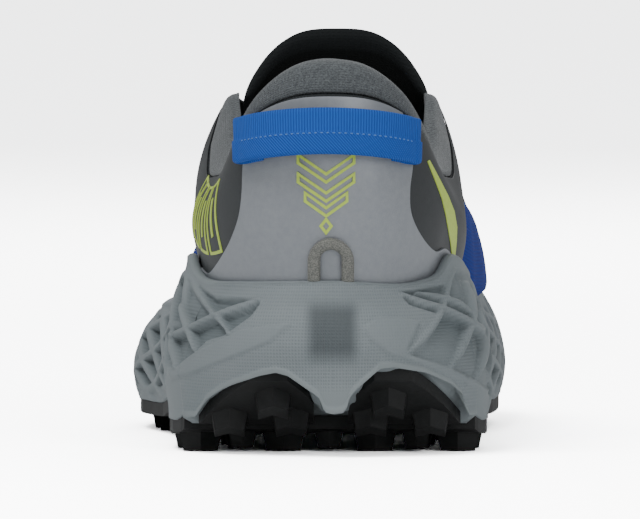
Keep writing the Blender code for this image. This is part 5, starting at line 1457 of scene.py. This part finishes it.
tongue = add_piece("padded_tongue", tongue_points, tongue_faces, black, facts={"tongue_mm": tongue_mm})
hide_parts("tongue")


# Pull tab: blue polyester webbing across the heel, its ends folded under and sewn down. The lower
# half carries a second, diagonal layer, and one row of lighter blue stitches joins them.
def stitches(name, path, ups, finish, length=2.1, space=0.9, thick=0.42):
    """Thread over cloth: rounded short stitches along a path; sizes in mm."""
    steps = np.linalg.norm(np.diff(path, axis=0), axis=1)
    run = np.concatenate([[0], np.cumsum(steps)])
    points, faces = [], []
    count = int(run[-1] / ((length + space) * MM))
    for k in range(count):
        start = (k + 0.5) * run[-1] / count - length * MM / 2
        at = start + np.array([0.0, 0.12, 0.5, 0.88, 1.0]) * length * MM
        here = np.stack([np.interp(at, run, path[:, i]) for i in range(3)], -1)
        up = np.stack([np.interp(at, run, ups[:, i]) for i in range(3)], -1)
        ahead = np.gradient(here, axis=0)
        across = np.cross(ahead, up)
        across = across / np.maximum(np.linalg.norm(across, axis=1, keepdims=True), 1e-12)
        swell = np.array([0.25, 0.8, 1.0, 0.8, 0.25]) * thick * MM / 2
        sink = np.array([-0.5, 0.05, 0.35, 0.05, -0.5]) * thick * MM
        swing = np.linspace(0, 2 * math.pi, 6, endpoint=False)
        spokes = across[:, None] * np.cos(swing)[None, :, None] + up[:, None] * np.sin(swing)[None, :, None]
        ring = (here + up * sink[:, None])[:, None] + spokes * swell[:, None, None]
        more, added = closed_rings(ring, len(points) * 30)
        points.append(more)
        faces += added
    return add_piece(name, np.concatenate(points), faces, finish)


def thread(name, dark_colour, pale_colour):
    """Spun polyester thread: a little glossy, with its twist as fine bands."""
    made, shader = finish_of(name, pale_colour, 0.6, Sheen_Weight=0.2)
    spot = node(made, "ShaderNodeTexCoord").outputs["Object"]
    twist = node(made, "ShaderNodeTexNoise", {"Scale": 2600.0, "Detail": 2.0}, Vector=spot)
    made.node_tree.links.new(tint(made, twist.outputs["Fac"], dark_colour, pale_colour),
                             shader.inputs["Base Color"])
    return made


PULL_TAB_WIDTH, PULL_TAB_HEIGHT = 57 * MM, 13.2 * MM
PULL_TAB_THICKNESS, PULL_TAB_STAND = 1.4 * MM, 3.4 * MM
PULL_TAB_MIDDLE, PULL_TAB_BOW = 96.9 * MM, 3.5 * MM
PULL_TAB_ASIDE, PULL_TAB_TRIM = -1.0 * MM, 2.0 * MM
seat = OVERLAY_GAP + OVERLAY + 2 * GAP
over = seat + PULL_TAB_THICKNESS + GAP
tab_reach = PULL_TAB_WIDTH / 2 - over - PULL_TAB_TRIM
fold_in = [(0.80, seat), (0.88, seat), (0.95, seat + 0.05 * MM), (1.005, seat + 0.25 * MM),
           (1.03, over - GAP / 2), (1.015, over + 0.5 * MM), (0.965, over + PULL_TAB_STAND * 0.20),
           (0.90, over + PULL_TAB_STAND * 0.38)]
for p in (0.82, 0.70, 0.55, 0.38, 0.19, 0.0):
    fold_in.append((p, over + PULL_TAB_STAND * (1 - p**4)))
fold_in = np.array(fold_in)
half_run = np.concatenate([[0], np.cumsum(np.hypot(np.diff(fold_in[:, 0]) * PULL_TAB_WIDTH / 2,
                                                   np.diff(fold_in[:, 1])))])
at = np.concatenate([np.linspace(0, half_run[5], 22), np.linspace(half_run[5], half_run[-1], 44)[1:]])
half_path = np.stack([natural(at, half_run, fold_in[:, i]) for i in range(2)], -1)
path = np.concatenate([half_path * (-1, 1), half_path[::-1][1:]])
across_run = np.gradient(path * (PULL_TAB_WIDTH / 2, 1), axis=0)
lean_out = np.stack([-across_run[:, 1], across_run[:, 0]], -1)
lean_out = lean_out / np.linalg.norm(lean_out, axis=1, keepdims=True)
# A band 1.4 mm thick with rounded selvedges; the lower layer stands 0.35 mm proud of it.
web = np.array([(-0.50, 0.25), (-0.49, 0.62), (-0.46, 0.92), (-0.40, 1.00), (-0.2, 1.00), (-0.06, 1.00),
                (-0.03, 0.97), (-0.01, 0.78), (0.02, 0.74), (0.2, 0.75), (0.40, 0.75), (0.46, 0.70),
                (0.49, 0.45), (0.50, 0.20), (0.46, 0.02), (0.2, 0.0), (-0.2, 0.0), (-0.46, 0.02)])
rings = []
for up_share, out_share in web:
    x = PULL_TAB_ASIDE + path[:, 0] * tab_reach + lean_out[:, 0] * out_share * PULL_TAB_THICKNESS
    stand = path[:, 1] + lean_out[:, 1] * out_share * PULL_TAB_THICKNESS
    height = PULL_TAB_MIDDLE - PULL_TAB_BOW * path[:, 0] ** 2 + up_share * PULL_TAB_HEIGHT
    rings.append(on_heel(x, height, stand))
band = np.stack(rings, 1)
run = np.concatenate([[0], np.cumsum(np.linalg.norm(np.diff(band[:, 4], axis=0), axis=1))]) / MM
lower = (web[:, 0] < -0.02) & (web[:, 1] > 0.3)
band_mm = np.stack([np.broadcast_to(run[:, None], band.shape[:2]),
                    np.broadcast_to(web[:, 0] * PULL_TAB_HEIGHT / MM, band.shape[:2]),
                    np.broadcast_to(lower * 1.0, band.shape[:2])], -1).reshape(-1, 3)
webbing, shader = finish_of("blue_webbing", "#1858B0", 0.75, Specular_IOR_Level=0.3)
place = node(webbing, "ShaderNodeAttribute", {"attribute_name": "band_mm"})
apart = node(webbing, "ShaderNodeSeparateXYZ", Vector=place.outputs["Vector"])
upright = stripes(webbing, apart.outputs["X"], 0.85)
slant = node(webbing, "ShaderNodeMath", {"operation": "ADD"}, i0=apart.outputs["X"], i1=apart.outputs["Y"])
twill = stripes(webbing, slant.outputs[0], 0.95)
kind = node(webbing, "ShaderNodeMix", i2=upright, i3=twill)
webbing.node_tree.links.new(apart.outputs["Z"], kind.inputs[0])
spot = node(webbing, "ShaderNodeTexCoord").outputs["Object"]
fuzz = node(webbing, "ShaderNodeTexNoise", {"Scale": 1500.0, "Detail": 3.0}, Vector=spot)
relief = node(webbing, "ShaderNodeMath", {"operation": "MULTIPLY_ADD", 1: 0.4}, i0=fuzz.outputs["Fac"],
              i2=kind.outputs[0])
dress(webbing, shader, tint(webbing, kind.outputs[0], "#0F469C", "#1E62C2"), relief.outputs[0], 0.6, 0.0003)
tab = add_piece("pull_tab_webbing", band.reshape(-1, 3), closed_rings(band)[1], webbing,
                facts={"band_mm": band_mm})
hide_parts("pull_tab")
pale_thread = thread("pale_thread", "#2C66B8", "#5A8BD2")
line_x = np.linspace(-0.93, 0.93, 90)
line_stand = np.interp(line_x, path[22:-22, 0], path[22:-22, 1])
line_height = PULL_TAB_MIDDLE - PULL_TAB_BOW * line_x**2 - 0.05 * PULL_TAB_HEIGHT
line_across = PULL_TAB_ASIDE + line_x * tab_reach
line = on_heel(line_across, line_height, line_stand + PULL_TAB_THICKNESS * 0.98)
line_ups = line - on_heel(line_across, line_height, line_stand)
line_ups = line_ups / np.linalg.norm(line_ups, axis=1, keepdims=True)
seam_row = stitches("pull_tab_stitches", line, line_ups, pale_thread, length=1.0, space=0.75, thick=0.42)

# Heel loop: a small arch of speckled reflective webbing over the rim, for a gaiter's hook.
LOOP_WIDTH, LOOP_HEIGHT, LOOP_BAND = 9.4 * MM, 11.4 * MM, 3.5 * MM
LOOP_THICKNESS, LOOP_START = 1.8 * MM, 0.012
seat = OVERLAY_GAP + OVERLAY + GAP
straight = LOOP_HEIGHT - LOOP_WIDTH / 2
swing = np.linspace(math.pi, 0, 33)
arch = np.stack([np.cos(swing) * LOOP_WIDTH / 2, straight + np.sin(swing) * LOOP_WIDTH / 2], -1)
leg = np.array([(-LOOP_WIDTH / 2, h) for h in np.linspace(0, straight, 10)[:-1]])
loop_path = np.concatenate([leg, arch, (leg * (-1, 1))[::-1]])
ahead = np.gradient(loop_path, axis=0)
ahead = ahead / np.linalg.norm(ahead, axis=-1, keepdims=True)
across = np.stack([-ahead[:, 1], ahead[:, 0]], -1)
tall = float(top_line(0.0)[2] - sole_wall(0.0, 1.0)[2])
rings = []
for reach, lift in ((-0.5, 0.1), (-0.49, 0.55), (-0.42, 0.86), (-0.28, 1.0), (0, 1.04), (0.28, 1.0),
                    (0.42, 0.86), (0.49, 0.55), (0.5, 0.1), (0.3, 0.0), (-0.3, 0.0)):
    spots = loop_path + across * LOOP_BAND * reach
    level = np.clip(spots[:, 1], 0, None) / tall + LOOP_START
    angles = angle_at_x(level, spots[:, 0])
    rings.append(upper_skin(angles, level, np.full(len(level), -(seat + lift * LOOP_THICKNESS))))
loop_band = np.stack(rings, 1)
reflective, shader = finish_of("speckled_reflective_webbing", "#8B8B84", 0.5, Metallic=0.2, Sheen_Weight=0.2)
spot = node(reflective, "ShaderNodeTexCoord").outputs["Object"]
beads = node(reflective, "ShaderNodeTexNoise", {"Scale": 2600.0, "Detail": 3.0, "Roughness": 0.8},
             Vector=spot)
sharp = node(reflective, "ShaderNodeMapRange", {1: 0.4, 2: 0.62}, Value=beads.outputs["Fac"])
dress(reflective, shader, tint(reflective, sharp.outputs[0], "#5A5C59", "#8C8C85"), beads.outputs["Fac"], 0.5,
      0.0002)
loop = add_piece("heel_loop_webbing", *closed_rings(loop_band), reflective)
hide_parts("heel_loop")

# Stitching of the eyestay, in dark thread.
dark_thread = thread("dark_thread", "#26292A", "#4A4E50")
for side, name in ((-1, "lateral"), (1, "medial")):
    reach = np.linspace(EYESTAY_SPAN[0] + 0.012, EYESTAY_SPAN[1] - 0.03, 120)
    angle = angle_at(reach, side)
    ahead = np.clip((reach - THROAT_END) / (EYESTAY_SPAN[1] - THROAT_END), 0, 1)
    beside = level_beside(angle, EYESTAY_WIDTH * (1 - EYESTAY_TAPER * ahead) - 1.6 * MM)
    line = upper_skin(angle, beside, np.full(len(angle), -(STAY_STAND + STAY_THICKNESS)))
    ups = line - upper_skin(angle, beside)
    ups = ups / np.linalg.norm(ups, axis=1, keepdims=True)
    row = stitches(f"eyestay_stitches_{name}", line, ups, dark_thread)

# Laces: one flat woven lace, blue with a darker fleck, crossing over the tongue from each eyelet to
# the next on the other side. It dips through each punched eyelet, and its ends stop in the top two.
LACE_WIDTH, LACE_THICKNESS = 6 * MM, 1.6 * MM
runs = [(4, 4)]
for k in range(4, 0, -1):
    runs += [(k, k - 1), (k - 1, k)]
lift = OVERLAY_GAP + OVERLAY + 2 * GAP + LACE_THICKNESS / 2
points, faces, lace_mm = [], [], []
for number, (lateral, medial) in enumerate(runs):
    ends = ((-1, EYELET_SHARES[lateral], EYELET_SHARES[medial]),
            (1, EYELET_SHARES[medial], EYELET_SHARES[lateral]))
    corners, turned = [], []
    for side, share, other in ends:
        eyelet, out = eyelet_frame(share, side)
        edge, out_edge = eyelet_frame(share + (other - share) * 0.14, side, 0.4 * MM)
        corners.append([eyelet - out * 2.2 * MM, eyelet + out * (lift - LACE_THICKNESS * 0.2),
                        edge + out_edge * (lift + GAP)])
        turned.append([out, out, out_edge])
    share = (EYELET_SHARES[lateral] + EYELET_SHARES[medial]) / 2
    crown = throat(share)[0].copy()
    crown[2] = tongue_height(share) + 2 * GAP + (1 + 1.0 * (lateral < medial)) * LACE_THICKNESS
    level = throat(share + 0.02)[0] - throat(share - 0.02)[0]
    flat = np.array([0.0, -level[2], level[1]])
    corners = np.array([*corners[0], crown, *corners[1][::-1]])
    turned = np.array([*turned[0], flat / np.linalg.norm(flat), *turned[1][::-1]])
    knots = np.array([0.0, 0.075, 0.21, 0.5, 0.79, 0.925, 1.0])
    at = np.linspace(0, 1, 49)
    lace_line, up = (np.stack([natural(at, knots, form[:, i]) for i in range(3)], -1)
                     for form in (corners, turned))
    ahead = np.gradient(lace_line, axis=0)
    ahead = ahead / np.linalg.norm(ahead, axis=-1, keepdims=True)
    across = np.cross(ahead, up)
    across = across / np.linalg.norm(across, axis=-1, keepdims=True)
    up = np.cross(across, ahead)
    near_end = np.minimum(at, 1 - at)
    wide = LACE_WIDTH * (0.55 + 0.45 * ease(0.02, 0.13, near_end))
    section = np.array([(-0.5, -0.2), (-0.5, 0.2), (-0.44, 0.42), (-0.2, 0.5), (0, 0.46), (0.2, 0.5),
                        (0.44, 0.42), (0.5, 0.2), (0.5, -0.2), (0.44, -0.42), (0.2, -0.5),
                        (-0.2, -0.5), (-0.44, -0.42)])
    rings = (lace_line[:, None] + across[:, None] * section[None, :, :1] * wide[:, None, None]
             + up[:, None] * section[None, :, 1:] * LACE_THICKNESS)
    more, added = closed_rings(rings, number * 49 * len(section))
    points.append(more)
    faces += added
    run = np.concatenate([[0], np.cumsum(np.linalg.norm(np.diff(lace_line, axis=0), axis=1))]) / MM
    lace_mm.append(np.stack([np.broadcast_to(run[:, None], rings.shape[:2]),
                             np.broadcast_to(section[:, 0] * LACE_WIDTH / MM, rings.shape[:2]),
                             np.zeros(rings.shape[:2])], -1).reshape(-1, 3))
weave, shader = finish_of("woven_lace", "#1F4FA8", 0.8, Sheen_Weight=0.25, Sheen_Roughness=0.5)
place = node(weave, "ShaderNodeAttribute", {"attribute_name": "lace_mm"})
apart = node(weave, "ShaderNodeSeparateXYZ", Vector=place.outputs["Vector"])
one_way = node(weave, "ShaderNodeMath", {"operation": "ADD"}, i0=apart.outputs["X"], i1=apart.outputs["Y"])
other_way = node(weave, "ShaderNodeMath", {"operation": "SUBTRACT"}, i0=apart.outputs["X"],
                 i1=apart.outputs["Y"])
braid = node(weave, "ShaderNodeMath", {"operation": "MULTIPLY"}, i0=stripes(weave, one_way.outputs[0], 1.1),
             i1=stripes(weave, other_way.outputs[0], 1.1))
dress(weave, shader, tint(weave, braid.outputs[0], "#17408E", "#2A62C4"), braid.outputs[0], 0.6, 0.0003)
lace = add_piece("woven_lace", np.concatenate(points), faces, weave,
                 facts={"lace_mm": np.concatenate(lace_mm)})
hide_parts("laces")
